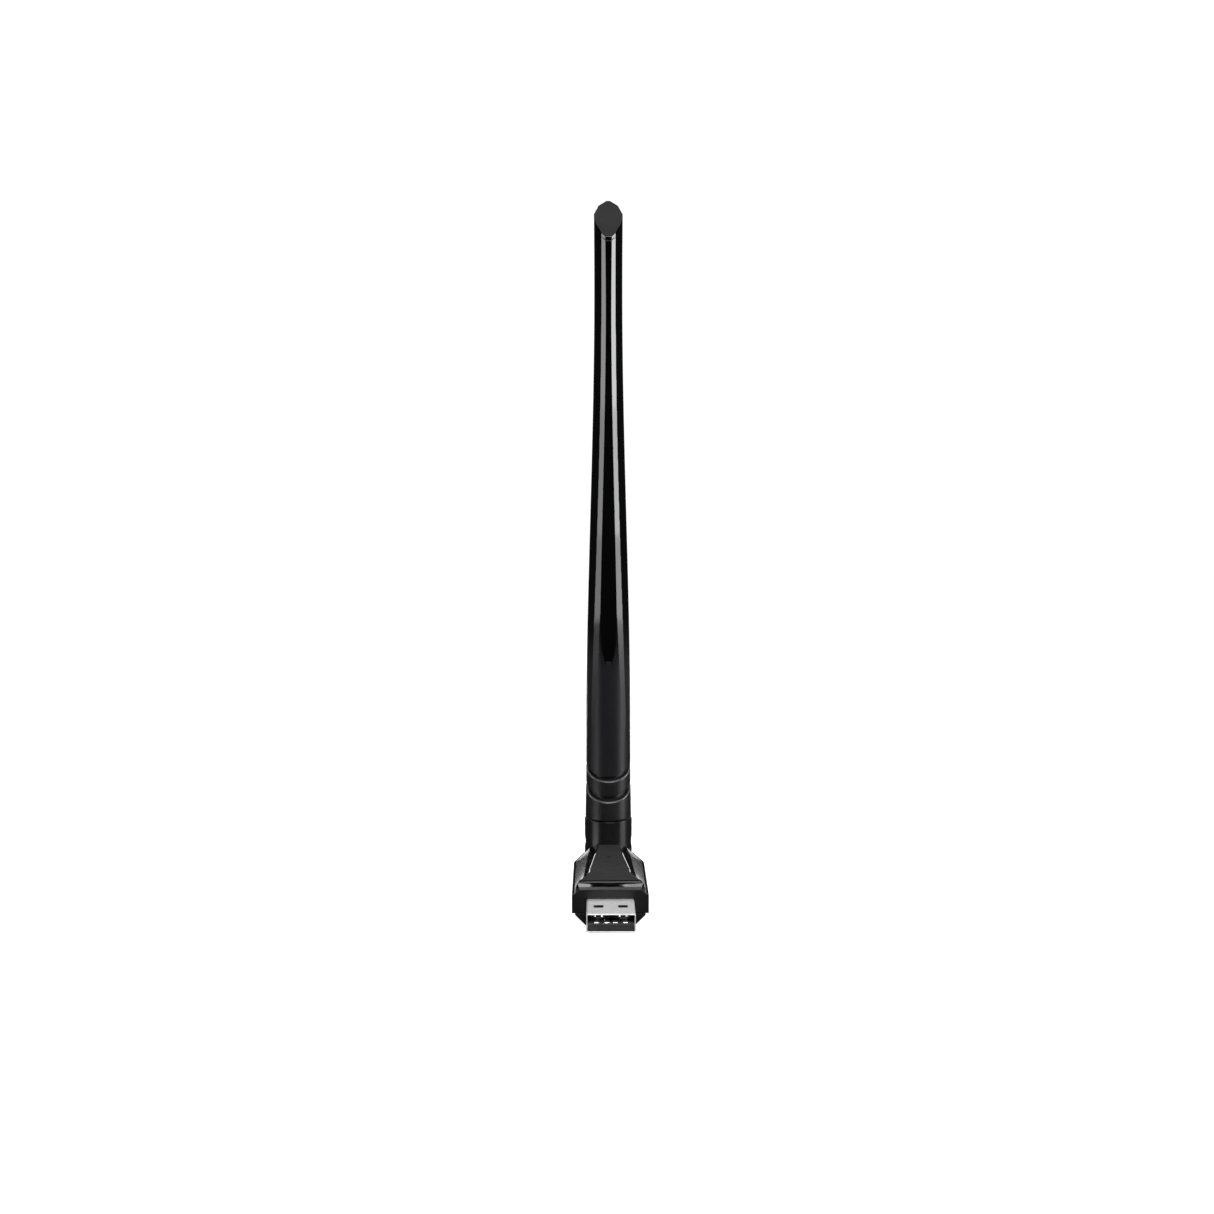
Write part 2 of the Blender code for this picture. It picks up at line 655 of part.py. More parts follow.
def make_base(finishes, fold):
    """Lower end of the antenna with the tongue that sits in the knuckle."""
    body = turned("Z", (0, KNUCKLE_Y, 0), [(BASE_BOTTOM, BASE_R), (BASE_BOTTOM + 12 * MM, STEM_R + 0.1 * MM)],
                  48)
    point, normal = slant(BASE_EDGE)
    slice_below(body, point, normal)
    base = finish("antenna_base", body, finishes["satin"])
    spigot = stem(SPIGOT_R, BASE_BOTTOM + 1 * MM, SPIGOT_TOP)
    combine(base, finish("spigot_tool", spigot, None), "UNION")

    side = []
    steps = 16
    for step in range(steps + 1):
        turn = math.pi + math.pi * step / steps
        side.append((KNUCKLE_Y + TONGUE_R * math.cos(turn), FOLD_Z + TONGUE_R * math.sin(turn)))
    top = BASE_BOTTOM + 1.5 * MM
    side.append((KNUCKLE_Y + TONGUE_R, top))
    side.append((KNUCKLE_Y - TONGUE_R, top))
    tongue = loft([[(x, y, z) for y, z in side] for x in (-TONGUE_HALF, TONGUE_HALF)])
    combine(base, finish("tongue_tool", tongue, None), "UNION")

    bore = stem(BORE_R, BASE_BOTTOM - 1.5 * MM, SPIGOT_TOP + 1 * MM)
    combine(base, finish("base_bore_tool", bore, None))
    lead_half = COAX_R + 0.25 * MM
    channel_top = BASE_BOTTOM - 0.6 * MM
    cut_box(base, "lead_channel_tool", (-lead_half, KNUCKLE_Y - TONGUE_R - 1 * MM, 0),
            (lead_half, KNUCKLE_Y - TONGUE_R + 1.6 * MM, channel_top))
    cut_box(base, "lead_turn_tool", (-lead_half, KNUCKLE_Y - TONGUE_R - 0.2 * MM, channel_top - 2.6 * MM),
            (lead_half, KNUCKLE_Y, channel_top + 1.2 * MM))
    hole = turned("X", (0, KNUCKLE_Y, FOLD_Z), [(-2 * TONGUE_HALF, FOLD_BUSH_R + CONTACT_GAP),
                                                (2 * TONGUE_HALF, FOLD_BUSH_R + CONTACT_GAP)], 24)
    combine(base, finish("bush_hole_tool", hole, None))
    attach(base, fold)

    sleeve = washer_profile(-TONGUE_HALF + CONTACT_GAP, TONGUE_HALF - CONTACT_GAP,
                            PIN_R + RUNNING_GAP, FOLD_BUSH_R)
    attach(finish("fold_bush", ring("X", (0, KNUCKLE_Y, FOLD_Z), sleeve, count=24),
                  finishes["bush"]), fold)


def make_ring(finishes, fold):
    body = stem(STEM_R, RING_LOW - 5 * MM, RING_HIGH + 20 * MM)
    point, normal = slant(RING_HIGH)
    slice_below(body, point, normal)
    point, normal = slant(RING_LOW)
    slice_below(body, point, -normal)
    band = finish("antenna_ring", body, finishes["satin"])
    hole = stem(SPIGOT_R + RING_WALL_GAP, 0, 60 * MM)
    combine(band, finish("ring_hole_tool", hole, None))
    attach(band, fold)


def half_width(z):
    """Half the cover's width: round foot, smooth taper, faint flare at the tip."""
    part = min(max((z - TAPER_START) / (TAPER_END - TAPER_START), 0.0), 1.0)
    ease = part * part * (3 - 2 * part)
    flare = max(0.0, (z - TAPER_END) / (20 * MM)) ** 2 * 0.08 * MM
    return STEM_R + (TIP_HALF - STEM_R) * ease + flare


def facet_planes(z):
    """Facet normals, in degrees from the front, with their distances from the axis."""
    width = half_width(z)
    tip = half_width(TAPER_END)
    share = (STEM_R - width) / (STEM_R - tip)
    rise = max(0.0, (z - FACET_START) / (TIP_Z - FACET_START))
    front = STEM_R - 0.15 * MM - rise * 0.85 * MM
    if z < FACET_START:
        front = STEM_R
    planes = {
        0: front,
        43: STEM_R - 2.05 * MM * share,
        60: STEM_R - 2.55 * MM * share,
        75: STEM_R - 2.62 * MM * share,
        90: width,
        118: STEM_R - 2.3 * MM * share,
        148: STEM_R - 1.85 * MM * share,
    }
    return planes


def cover_section(z, count=64, inset=0.0):
    """The cover's outline: a circle cut by its facets."""
    planes = facet_planes(z)
    outline = []
    for i in range(count):
        turn = math.tau * i / count
        reach = STEM_R
        for degrees, distance in planes.items():
            for sign in (-1, 1):
                across = math.cos(turn - sign * math.radians(degrees))
                if across > 1e-6:
                    reach = min(reach, distance / across)
        reach -= inset
        outline.append((reach * math.sin(turn), KNUCKLE_Y - reach * math.cos(turn), z))
    return outline


def cover_loft(low, high, steps=26):
    sections = [cover_section(low)]
    start = 40 * MM
    for step in range(steps + 1):
        sections.append(cover_section(start + (high - start) * step / steps))
    return loft(sections)


def tip_plane(height):
    point = Vector((0, KNUCKLE_Y, height))
    normal = Vector((0, -TIP_SLOPE, 1)).normalized()
    return point, normal


def make_cover(finishes, fold):
    body = cover_loft(10 * MM, TIP_Z + 12 * MM)
    slice_below(body, *tip_plane(TIP_Z - CAP_THICK - CAP_GAP))
    point, normal = slant(COVER_LOW)
    slice_below(body, point, -normal)
    cover = finish("antenna_cover", body, finishes["gloss"])

    bore_top = SPIGOT_TOP + 0.5 * MM
    wide = SPIGOT_R + RING_WALL_GAP
    profile = [(10 * MM, wide), (bore_top, wide)]
    steps = 8
    high = TIP_Z + 12 * MM
    for step in range(steps + 1):
        z = bore_top + 4 * MM + (high - bore_top - 4 * MM) * step / steps
        profile.append((z, min(wide - 0.4 * MM, half_width(z) - COVER_WALL)))
    cavity = turned("Z", (0, KNUCKLE_Y, 0), profile, 32)
    combine(cover, finish("cover_cavity_tool", cavity, None))
    attach(cover, fold)


def make_tip_cap(finishes, fold):
    """Slanted cap with a stub that plugs into the cover."""
    body = cover_loft(120 * MM, TIP_Z + 12 * MM, 12)
    slice_below(body, *tip_plane(TIP_Z))
    point, normal = tip_plane(TIP_Z - CAP_THICK)
    slice_below(body, point, -normal)
    cap = finish("antenna_tip_cap", body, finishes["matte"])
    stub_r = half_width(TIP_Z) - COVER_WALL - 0.2 * MM
    stub = turned("Z", (0, KNUCKLE_Y, 0), [(TIP_Z - 11 * MM, stub_r - 0.3 * MM),
                                           (TIP_Z - 10.5 * MM, stub_r),
                                           (TIP_Z + 8 * MM, stub_r)], 24)
    slice_below(stub, *tip_plane(TIP_Z - 0.3 * MM))
    combine(cap, finish("cap_stub_tool", stub, None), "UNION")
    attach(cap, fold)


def make_aerial(finishes, fold):
    board_low = 39.6 * MM
    board = box((-2.1 * MM, KNUCKLE_Y - 0.4 * MM, board_low), (2.1 * MM, KNUCKLE_Y + 0.4 * MM, 166 * MM))
    attach(finish("aerial_board", board, finishes["board"], smooth=False), fold)
    y_channel = KNUCKLE_Y - TONGUE_R + 0.8 * MM
    route = [
        (0, y_channel, 4.2 * MM),
        (0, y_channel, 7.8 * MM),
        (0, y_channel + 0.9 * MM, 10.2 * MM),
        (0, KNUCKLE_Y - 0.5 * MM, 12.4 * MM),
        (0, KNUCKLE_Y, 15.0 * MM),
        (0, KNUCKLE_Y, 26.0 * MM),
        (0, KNUCKLE_Y, 39.3 * MM),
    ]
    attach(make_lead("antenna_lead", route, finishes["lead"]), fold)


def make_body_lead(finishes):
    route = [
        (3.0 * MM, 30.0 * MM, 1.7 * MM),
        (2.9 * MM, 31.6 * MM, 1.9 * MM),
        (1.5 * MM, 33.4 * MM, 1.2 * MM),
        (0, 35.4 * MM, SWIVEL_Z),
        (0, 38.0 * MM, SWIVEL_Z),
        (0, 43.4 * MM, SWIVEL_Z),
    ]
    make_lead("body_lead", route, finishes["lead"])


# ---------------------------------------------------------------------- main

def main():
    for item in list(bpy.data.objects):
        bpy.data.objects.remove(item, do_unlink=True)
    finishes = make_materials()
    swivel = make_axis("swivel_axis", (0, KNUCKLE_Y, SWIVEL_Z))
    fold = make_axis("fold_axis", (0, KNUCKLE_Y, FOLD_Z), swivel)
    make_plug(finishes)
    make_top_cover(finishes)
    make_top_plate(finishes)
    make_bottom_tray(finishes)
    make_electronics(finishes)
    make_body_lead(finishes)
    make_swivel_seat(finishes)
    make_swivel_hardware(finishes, swivel)
    make_knuckle(finishes, swivel)
    make_base(finishes, fold)
    make_ring(finishes, fold)
    make_cover(finishes, fold)
    make_tip_cap(finishes, fold)
    make_aerial(finishes, fold)


main()
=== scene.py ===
"""Finished pieces, finishes and studio for a USB wireless adapter with a folding antenna."""

import json
import math

import bmesh
import bpy
from bpy.props import FloatProperty, FloatVectorProperty, IntProperty, PointerProperty
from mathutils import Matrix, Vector


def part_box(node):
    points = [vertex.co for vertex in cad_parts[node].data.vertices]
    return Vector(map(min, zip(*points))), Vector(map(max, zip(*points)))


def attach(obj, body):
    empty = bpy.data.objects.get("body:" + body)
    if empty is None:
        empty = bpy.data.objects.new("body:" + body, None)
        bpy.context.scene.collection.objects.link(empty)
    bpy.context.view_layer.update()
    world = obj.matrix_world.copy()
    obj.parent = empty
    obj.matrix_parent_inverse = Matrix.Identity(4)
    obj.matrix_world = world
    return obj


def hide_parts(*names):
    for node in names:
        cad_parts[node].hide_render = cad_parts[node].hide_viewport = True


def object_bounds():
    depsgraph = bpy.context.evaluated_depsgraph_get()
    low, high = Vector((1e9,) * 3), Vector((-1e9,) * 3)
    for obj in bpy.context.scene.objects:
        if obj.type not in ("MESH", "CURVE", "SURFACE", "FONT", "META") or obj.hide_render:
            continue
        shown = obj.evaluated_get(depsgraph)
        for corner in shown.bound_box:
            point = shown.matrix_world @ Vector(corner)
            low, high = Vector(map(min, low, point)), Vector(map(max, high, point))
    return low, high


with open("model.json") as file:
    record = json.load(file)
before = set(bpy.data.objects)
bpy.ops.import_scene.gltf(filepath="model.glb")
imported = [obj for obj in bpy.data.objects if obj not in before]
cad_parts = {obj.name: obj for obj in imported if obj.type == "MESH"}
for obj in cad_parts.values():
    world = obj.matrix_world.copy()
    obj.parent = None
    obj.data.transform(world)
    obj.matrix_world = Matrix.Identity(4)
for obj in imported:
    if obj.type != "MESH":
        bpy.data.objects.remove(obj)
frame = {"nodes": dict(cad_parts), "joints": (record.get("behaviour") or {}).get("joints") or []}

bl_info = {
    "name": "Wireless Adapter Finish",
    "version": (1, 0, 0),
    "blender": (4, 5, 0),
    "location": "3D Viewport > Sidebar > Adapter",
    "description": "Builds the visible pieces of a USB wireless adapter round its frame",
    "category": "Add Mesh",
}

MM = 0.001
CAD_BOX = [list(corner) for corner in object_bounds()]


def span(node):
    """Lowest and highest corner of a frame node, in millimetres."""
    low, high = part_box(node)
    return [value / MM for value in low], [value / MM for value in high]


PLUG_LOW, PLUG_HIGH = span("usb_shell")
TONGUE_LOW, TONGUE_HIGH = span("usb_insulator")
SHELL_LOW, SHELL_HIGH = span("top_cover")
PLATE_LOW, PLATE_HIGH = span("top_plate")
TRAY_LOW, TRAY_HIGH = span("bottom_tray")
KNUCKLE_LOW, KNUCKLE_HIGH = span("swivel_knuckle")
PIPE_LOW, PIPE_HIGH = span("led_light_pipe")
PIPE_MIDDLE = [(low + high) / 2 for low, high in zip(PIPE_LOW[:2], PIPE_HIGH[:2])]
PIPE_R = PIPE_HIGH[0] - PIPE_MIDDLE[0]
PIN_END = span("fold_pin")[1][0]
PADS = [span(f"usb_contact_{number}") for number in range(1, 5)]
LEAVES = [span(f"fast_contact_{number}") for number in range(1, 6)]
HINGES = {joint["name"]: [value / MM for value in joint["pos_m"]] for joint in frame["joints"]}
SWIVEL_Z = HINGES["antenna_swivel"][2]
AXIS_Y = HINGES["antenna_fold"][1]
FOLD_Z = HINGES["antenna_fold"][2]
FOLD_AXIS = (AXIS_Y, FOLD_Z)

# Plug and body, in millimetres.
PLUG_WALL = 0.3
PLUG_CORNER = 0.6
PLUG_GAP = 0.2
WINDOW_HALF = (1.2, 0.95)
WINDOW_ACROSS = 3.0
WINDOW_Y = -5.8
LEAF_END = -6.85
BODY_WALL = 1.3
BODY_NARROWS = 30.0
TRAY_REAR_HALF = 6.2
RECESS_GAP = 0.12

# Swivel and knuckle, in millimetres.
SHAFT_R = 2.5
BUSH_R = 3.2
BOSS_R = 4.9
BOSS_START = 40.1
SLOT_HALF = 3.1
SLOT_FRONT = 43.3
SLOT_FLOOR = 1.1
PIN_R = 1.0
PIN_SINK_R = 1.75
TONGUE_HALF = 2.9
TONGUE_R = 3.5
RUNNING_GAP = 0.1

# Antenna, in millimetres.
STEM_R = 6.4
SPIGOT_R = 5.3
SLEEVE_R = 5.45
SPIGOT_TOP = 36.0
BORE_R = 1.4
GROOVE_SLOPE = math.tan(math.radians(29))
TIP_SLOPE = math.tan(math.radians(50))
BASE_EDGE = 17.5
RING_LOW = 19.2
RING_HIGH = 23.4
COVER_LOW = 24.8
FOOT_LOW = 12.05
LEVEL_BY = 46.0
TIP_Z = 181.9
CAP_THICK = 1.2
CAP_GAP = 0.05
SLANT_FROM = 150.0
TIP_HALF = 3.95
TAPER_START = 32.0
TAPER_END = 162.0
FACET_START = 57.0
COVER_WALL = 1.3
COVER_COLUMNS = 288

# Points closer than this are one point, in millimetres.
SAME_POINT = 0.0002
CAP_RINGS = (0.94, 0.84, 0.68, 0.48, 0.26, 0.08)
LARGE_FACE = 2.5


# ------------------------------------------------------------------ settings

class AdapterSizes(bpy.types.PropertyGroup):
    """Sizes of the visible pieces."""

    edge: FloatProperty(
        name="Edge radius", description="Rounding of the moulded edges",
        default=0.22 * MM, min=0.02 * MM, unit="LENGTH", precision=5)
    plate_chamfer: FloatProperty(
        name="Plate chamfer", description="Width of the bright chamfer round the top plate",
        default=0.36 * MM, min=0.05 * MM, unit="LENGTH", precision=5)
    groove_edge: FloatProperty(
        name="Groove edge radius", description="Rounding of the ring's and the foot's edges",
        default=0.3 * MM, min=0.05 * MM, unit="LENGTH", precision=5)
    columns: IntProperty(
        name="Columns", description="Points round each turned piece",
        default=128, min=32, max=256)


def colour_setting(name, description, default):
    return FloatVectorProperty(name=name, description=description, default=default,
                               subtype="COLOR", min=0, max=1)


class AdapterColours(bpy.types.PropertyGroup):
    """Colours of the finishes."""

    gloss: colour_setting("Gloss black", "Polished plastic of the antenna and upper shell",
                          (0.0013, 0.0013, 0.0015))
    satin: colour_setting("Satin black", "Satin plastic of the body and antenna foot",
                          (0.011, 0.011, 0.0115))
    matte: colour_setting("Matte grey", "Spark-eroded plate and antenna tip",
                          (0.0325, 0.0325, 0.0332))
    nickel: colour_setting("Nickel", "Plated steel of the plug", (0.97, 0.97, 0.962))
    gold: colour_setting("Contacts", "Plating of the contacts", (0.90, 0.885, 0.84))
    insulator: colour_setting("Insulator", "Moulded tongue inside the plug",
                              (0.062, 0.062, 0.063))


class AdapterStudio(bpy.types.PropertyGroup):
    """The floor and the lights."""

    floor: colour_setting("Floor", "Colour of the floor and backdrop", (0.6, 0.6, 0.6))
    radius: FloatProperty(
        name="Backdrop radius", description="Distance of the backdrop from the antenna",
        default=1.6, min=0.5, unit="LENGTH")
    brightness: FloatProperty(
        name="Brightness", description="Strength of every lamp together",
        default=1.0, min=0.0)


# ---------------------------------------------------------------- mesh tools

def mirrored(half):
    """Close a half outline, given for x >= 0, across x = 0."""
    return half + [(-corner[0], *corner[1:]) for corner in reversed(half)]


def soft_outline(corners, steps=4, parts=3):
    """A closed outline of (a, b, radius) corners, rounded, with its straights divided."""
    arcs = []
    count = len(corners)
    for i, (a, b, radius) in enumerate(corners):
        here = Vector((a, b))
        before = Vector(corners[i - 1][:2]) - here
        after = Vector(corners[(i + 1) % count][:2]) - here
        room = 0.48 * min(before.length, after.length)
        before.normalize()
        after.normalize()
        half = before.angle(after) / 2
        reach = min(radius / math.tan(half), room)
        start = here + before * reach
        end = here + after * reach
        if half > math.radians(89.5):
            arcs.append([start.lerp(end, step / steps) for step in range(steps + 1)])
            continue
        true_radius = reach * math.tan(half)
        centre = here + (before + after).normalized() * true_radius / math.sin(half)
        first = math.atan2(*(start - centre).yx)
        turn = math.atan2(*(end - centre).yx) - first
        turn = (turn + math.pi) % math.tau - math.pi
        arcs.append([centre + true_radius * Vector((math.cos(first + turn * step / steps),
                                                    math.sin(first + turn * step / steps)))
                     for step in range(steps + 1)])
    outline = []
    for i, arc in enumerate(arcs):
        outline.extend(arc)
        target = arcs[(i + 1) % count][0]
        outline.extend(arc[-1].lerp(target, part / parts) for part in range(1, parts))
    return outline


def rectangle(low, high, radius, steps, parts):
    """A rounded rectangle between two corners."""
    (a0, b0), (a1, b1) = low, high
    corners = [(a0, b0, radius), (a1, b0, radius), (a1, b1, radius), (a0, b1, radius)]
    return soft_outline(corners, steps, parts)


def shrunk(outline, amount):
    """The outline moved inwards by an even amount."""
    count = len(outline)
    area = sum(outline[i - 1].cross(outline[i]) for i in range(count))
    side = 1 if area > 0 else -1
    moved = []
    for i, point in enumerate(outline):
        along = (outline[(i + 1) % count] - point).normalized()
        along += (point - outline[i - 1]).normalized()
        along.normalize()
        moved.append(point + Vector((-along.y, along.x)) * side * amount)
    return moved


def quarter(radius, steps=4):
    """(inset, advance) pairs of a rounded edge, from its cap to its side."""
    turns = [math.radians(90) * step / steps for step in range(steps + 1)]
    return [(radius * (1 - math.sin(turn)), radius * (1 - math.cos(turn))) for turn in turns]


def skin(rings, paint=None, closed=False, cap_paint=0, scales=CAP_RINGS):
    """Quads between loops of equal length, with nested caps on open ends."""
    bm = bmesh.new()
    rings = [[Vector(point) for point in ring] for ring in rings]
    if not closed:
        rings = nested(rings[0], scales)[::-1] + rings + nested(rings[-1], scales)
    loops = [[bm.verts.new(point * MM) for point in ring] for ring in rings]
    pairs = list(zip(loops, loops[1:]))
    if closed:
        pairs.append((loops[-1], loops[0]))
    count = len(loops[0])
    caps = 0 if closed else len(scales)
    for row, (low, high) in enumerate(pairs):
        on_cap = row < caps or row >= len(pairs) - caps
        for i in range(count):
            j = (i + 1) % count
            face = bm.faces.new((low[i], low[j], high[j], high[i]))
            if paint is not None:
                face.material_index = cap_paint if on_cap else paint(i)
    if not closed:
        for loop in (loops[0], loops[-1]):
            face = bm.faces.new(loop)
            face.material_index = cap_paint
    return bm


def nested(ring, scales):
    """Loops that close a ring towards its middle."""
    middle = sum(ring, Vector((0, 0, 0))) / len(ring)
    return [[middle.lerp(point, scale) for point in ring] for scale in scales]


def along_x(outline, x):
    return [(x, point[0], point[1]) for point in outline]


def along_y(outline, y):
    return [(point[0], y, point[1]) for point in outline]


def along_z(outline, z):
    return [(point[0], point[1], z) for point in outline]


def circle(radius, count, centre=(0.0, 0.0)):
    turns = [math.tau * i / count for i in range(count)]
    return [Vector((centre[0] + radius * math.cos(turn), centre[1] + radius * math.sin(turn)))
            for turn in turns]


def rounded_prism(place, outline, low, high, edge, steps=4, rows=6, **paints):
    """An outline pushed from low to high with both rims rounded."""
    rings = []
    for inset, advance in quarter(edge, steps):
        rings.append(place(shrunk(outline, inset), low + advance))
    for row in range(1, rows):
        rings.append(place(outline, low + edge + (high - low - 2 * edge) * row / rows))
    for inset, advance in reversed(quarter(edge, steps)):
        rings.append(place(shrunk(outline, inset), high - advance))
    return skin(rings, **paints)


def block(low, high, edge):
    """A box with rounded edges, for cutting and for small parts."""
    outline = rectangle(low[:2], high[:2], edge, 3, 2)
    return rounded_prism(along_z, outline, low[2], high[2], min(edge, (high[2] - low[2]) / 3), 3, 2)


def rod(place, centre, radius, low, high, edge=0.05, count=48, rows=4):
    return rounded_prism(place, circle(radius, count, centre), low, high, edge, 3, rows)


def link(name, data):
    """A new object in the scene."""
    item = bpy.data.objects.new(name, data)
    bpy.context.scene.collection.objects.link(item)
    return item


def shade(mesh, smooth):
    mesh.shade_smooth()
    mesh.set_sharp_from_angle(angle=math.radians(smooth))


def new_piece(name, bm, finishes=(), smooth=35):
    """Link a mesh as an object whose place is in its vertices."""
    bmesh.ops.remove_doubles(bm, verts=bm.verts, dist=SAME_POINT * MM)
    bmesh.ops.dissolve_degenerate(bm, edges=bm.edges, dist=SAME_POINT * MM)
    bmesh.ops.recalc_face_normals(bm, faces=bm.faces)
    mesh = bpy.data.meshes.new(name)
    bm.to_mesh(mesh)
    bm.free()
    shade(mesh, smooth)
    for finish in finishes:
        mesh.materials.append(FINISHES[finish])
    return link(name, mesh)


def repaint(piece, index, test):
    """Give the faces that pass a test of middle and normal another finish."""
    for face in piece.data.polygons:
        if test(face.center / MM, face.normal):
            face.material_index = index


def settle(piece):
    """Turn a piece and its live modifiers into a plain mesh."""
    depsgraph = bpy.context.evaluated_depsgraph_get()
    mesh = bpy.data.meshes.new_from_object(
        piece.evaluated_get(depsgraph), preserve_all_data_layers=True, depsgraph=depsgraph)
    piece.modifiers.clear()
    worn = piece.data
    piece.data = mesh
    bpy.data.meshes.remove(worn)
    mesh.name = piece.name
    if not mesh.polygons:
        raise RuntimeError(f"{piece.name} came out empty")
    return piece


def carve(piece, *tools, operation="DIFFERENCE"):
    """Cut tools out of a piece, or join them to it."""
    for bm in tools:
        tool = new_piece("tool", bm)
        modifier = piece.modifiers.new("carve", "BOOLEAN")
        modifier.operation = operation
        modifier.solver = "EXACT"
        modifier.object = tool
        settle(piece)
        shape = tool.data
        bpy.data.objects.remove(tool)
        bpy.data.meshes.remove(shape)
    return piece


def mark_exposed(piece, smooth=35):
    """Store how far each point stands out on a convex edge, for the wear.

    A point on a large face stays unmarked, or its mark would spread over the face.
    """
    bm = bmesh.new()
    bm.from_mesh(piece.data)
    bmesh.ops.remove_doubles(bm, verts=bm.verts, dist=0.0005 * MM)
    bmesh.ops.dissolve_degenerate(bm, edges=bm.edges, dist=0.0005 * MM)
    bm.to_mesh(piece.data)
    values = []
    for vert in bm.verts:
        bend = 0.0
        smears = any(face.calc_area() > LARGE_FACE * MM ** 2 for face in vert.link_faces)
        for edge in vert.link_edges:
            if len(edge.link_faces) == 2 and not smears:
                reach = max(edge.calc_length() / MM, 0.05)
                bend = max(bend, edge.calc_face_angle_signed(0.0) / max(reach, 0.25))
        values.append(min(max(bend / math.radians(60), 0.0), 1.0))
    bm.free()
    layer = piece.data.attributes.new("exposed", "FLOAT", "POINT")
    layer.data.foreach_set("value", values)
    shade(piece.data, smooth)


def hand_over(piece, body, slot, *nodes, smooth=35):
    """Finish a piece: mark its wear, put it on its body and hide the frame parts it stands for."""
    mark_exposed(piece, smooth)
    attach(piece, body)
    if nodes:
        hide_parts(*nodes)


# ------------------------------------------------------------------ finishes

class Flow:
    """A number on a shader socket that can be used in an expression."""

    def __init__(self, finish, socket):
        self.finish = finish
        self.socket = socket

    def maths(self, operation, *values):
        inputs = dict(enumerate(values))
        node = self.finish.node("ShaderNodeMath", {"operation": operation}, inputs)
        return Flow(self.finish, node.outputs[0])

    def __neg__(self):
        return self.maths("MULTIPLY", self, -1.0)

    def above(self, low, high):
        """0 below low, 1 above high, smooth between."""
        inputs = {"Value": self, "From Min": low, "From Max": high}
        node = self.finish.node(
            "ShaderNodeMapRange", {"interpolation_type": "SMOOTHSTEP", "clamp": True}, inputs)
        return Flow(self.finish, node.outputs["Result"])


def overload(operation, reflected):
    """An operator of Flow, with its values swapped if reflected."""
    def apply(flow, other):
        return flow.maths(operation, *((other, flow) if reflected else (flow, other)))
    return apply


for symbol, operation in (("add", "ADD"), ("sub", "SUBTRACT"), ("mul", "MULTIPLY"),
                          ("truediv", "DIVIDE"), ("pow", "POWER")):
    setattr(Flow, f"__{symbol}__", overload(operation, False))
    setattr(Flow, f"__r{symbol}__", overload(operation, True))


class Finish:
    """One material and the single way its nodes are added."""

    def __init__(self, name, **constants):
        self.material = bpy.data.materials.new(name)
        self.material.use_nodes = True
        self.tree = self.material.node_tree
        self.shader = self.tree.nodes["Principled BSDF"]
        for socket, value in constants.items():
            self.shader.inputs[socket.replace("_", " ")].default_value = value
        self.place = self.node("ShaderNodeTexCoord").outputs["Object"]

    def node(self, kind, settings=None, inputs=None):
        node = self.tree.nodes.new(kind)
        for name, value in (settings or {}).items():
            setattr(node, name, value)
        for key, value in (inputs or {}).items():
            self.feed(node.inputs[key], value)
        return node

    def feed(self, socket, value):
        if isinstance(value, Flow):
            value = value.socket
        if isinstance(value, bpy.types.NodeSocket):
            self.tree.links.new(value, socket)
        else:
            socket.default_value = value

    def noise(self, scale, detail=2.0, stretch=(1.0, 1.0, 1.0), roughness=0.5):
        """Noise whose grains are 1 / scale millimetres long."""
        mapping = self.node("ShaderNodeMapping", None, {"Vector": self.place, "Scale": stretch})
        inputs = {"Vector": mapping.outputs[0], "Scale": scale / MM, "Detail": detail,
                  "Roughness": roughness}
        return Flow(self, self.node("ShaderNodeTexNoise", None, inputs).outputs["Fac"])

    def cells(self, scale):
        inputs = {"Vector": self.place, "Scale": scale / MM}
        return Flow(self, self.node("ShaderNodeTexVoronoi", None, inputs).outputs["Distance"])

    def exposed(self):
        node = self.node("ShaderNodeAttribute", {"attribute_name": "exposed"})
        return Flow(self, node.outputs["Fac"])

    def blend(self, factor, first, second):
        """Mix two colours."""
        node = self.node("ShaderNodeMix", {"data_type": "RGBA"}, {0: factor})
        self.feed(node.inputs[6], first)
        self.feed(node.inputs[7], second)
        return node.outputs[2]

    def relief(self, height, distance):
        inputs = {"Height": height, "Distance": distance * MM, "Strength": 1.0}
        node = self.node("ShaderNodeBump", None, inputs)
        self.feed(self.shader.inputs["Normal"], node.outputs[0])

    def surface(self, colour=None, roughness=None):
        if colour is not None:
            self.feed(self.shader.inputs["Base Color"], colour)
        if roughness is not None:
            self.feed(self.shader.inputs["Roughness"], roughness)
        return self.material


def opaque(colour, scale=1.0):
    """A scaled colour with its alpha."""
    return (*(min(value * scale, 1.0) for value in colour), 1.0)


def plastic(name, colour, rough, grain, depth, wear=0.3, specular=0.5, tint=1.2):
    """Moulded plastic: cloudy colour, uneven gloss, fine grain and rubbed edges."""
    finish = Finish(name, IOR=1.49, Specular_IOR_Level=specular)
    cloud = finish.noise(0.12, 3.0)
    fine = finish.noise(grain, 4.0, roughness=0.6)
    rubbed = finish.exposed().above(0.4, 0.95) * finish.noise(0.9, 3.0).above(0.3, 0.65) * wear
    base = finish.blend(cloud.above(0.3, 0.7), opaque(colour, 2 - tint), opaque(colour, tint))
    worn = [value * 2.2 + 0.012 for value in colour]
    shade = finish.blend(rubbed, base, opaque(worn))
    low, high = rough
    uneven = low + (high - low) * finish.noise(0.35, 4.0).above(0.25, 0.75)
    finish.relief(fine, depth)
    return finish.surface(shade, uneven + rubbed * 0.12)


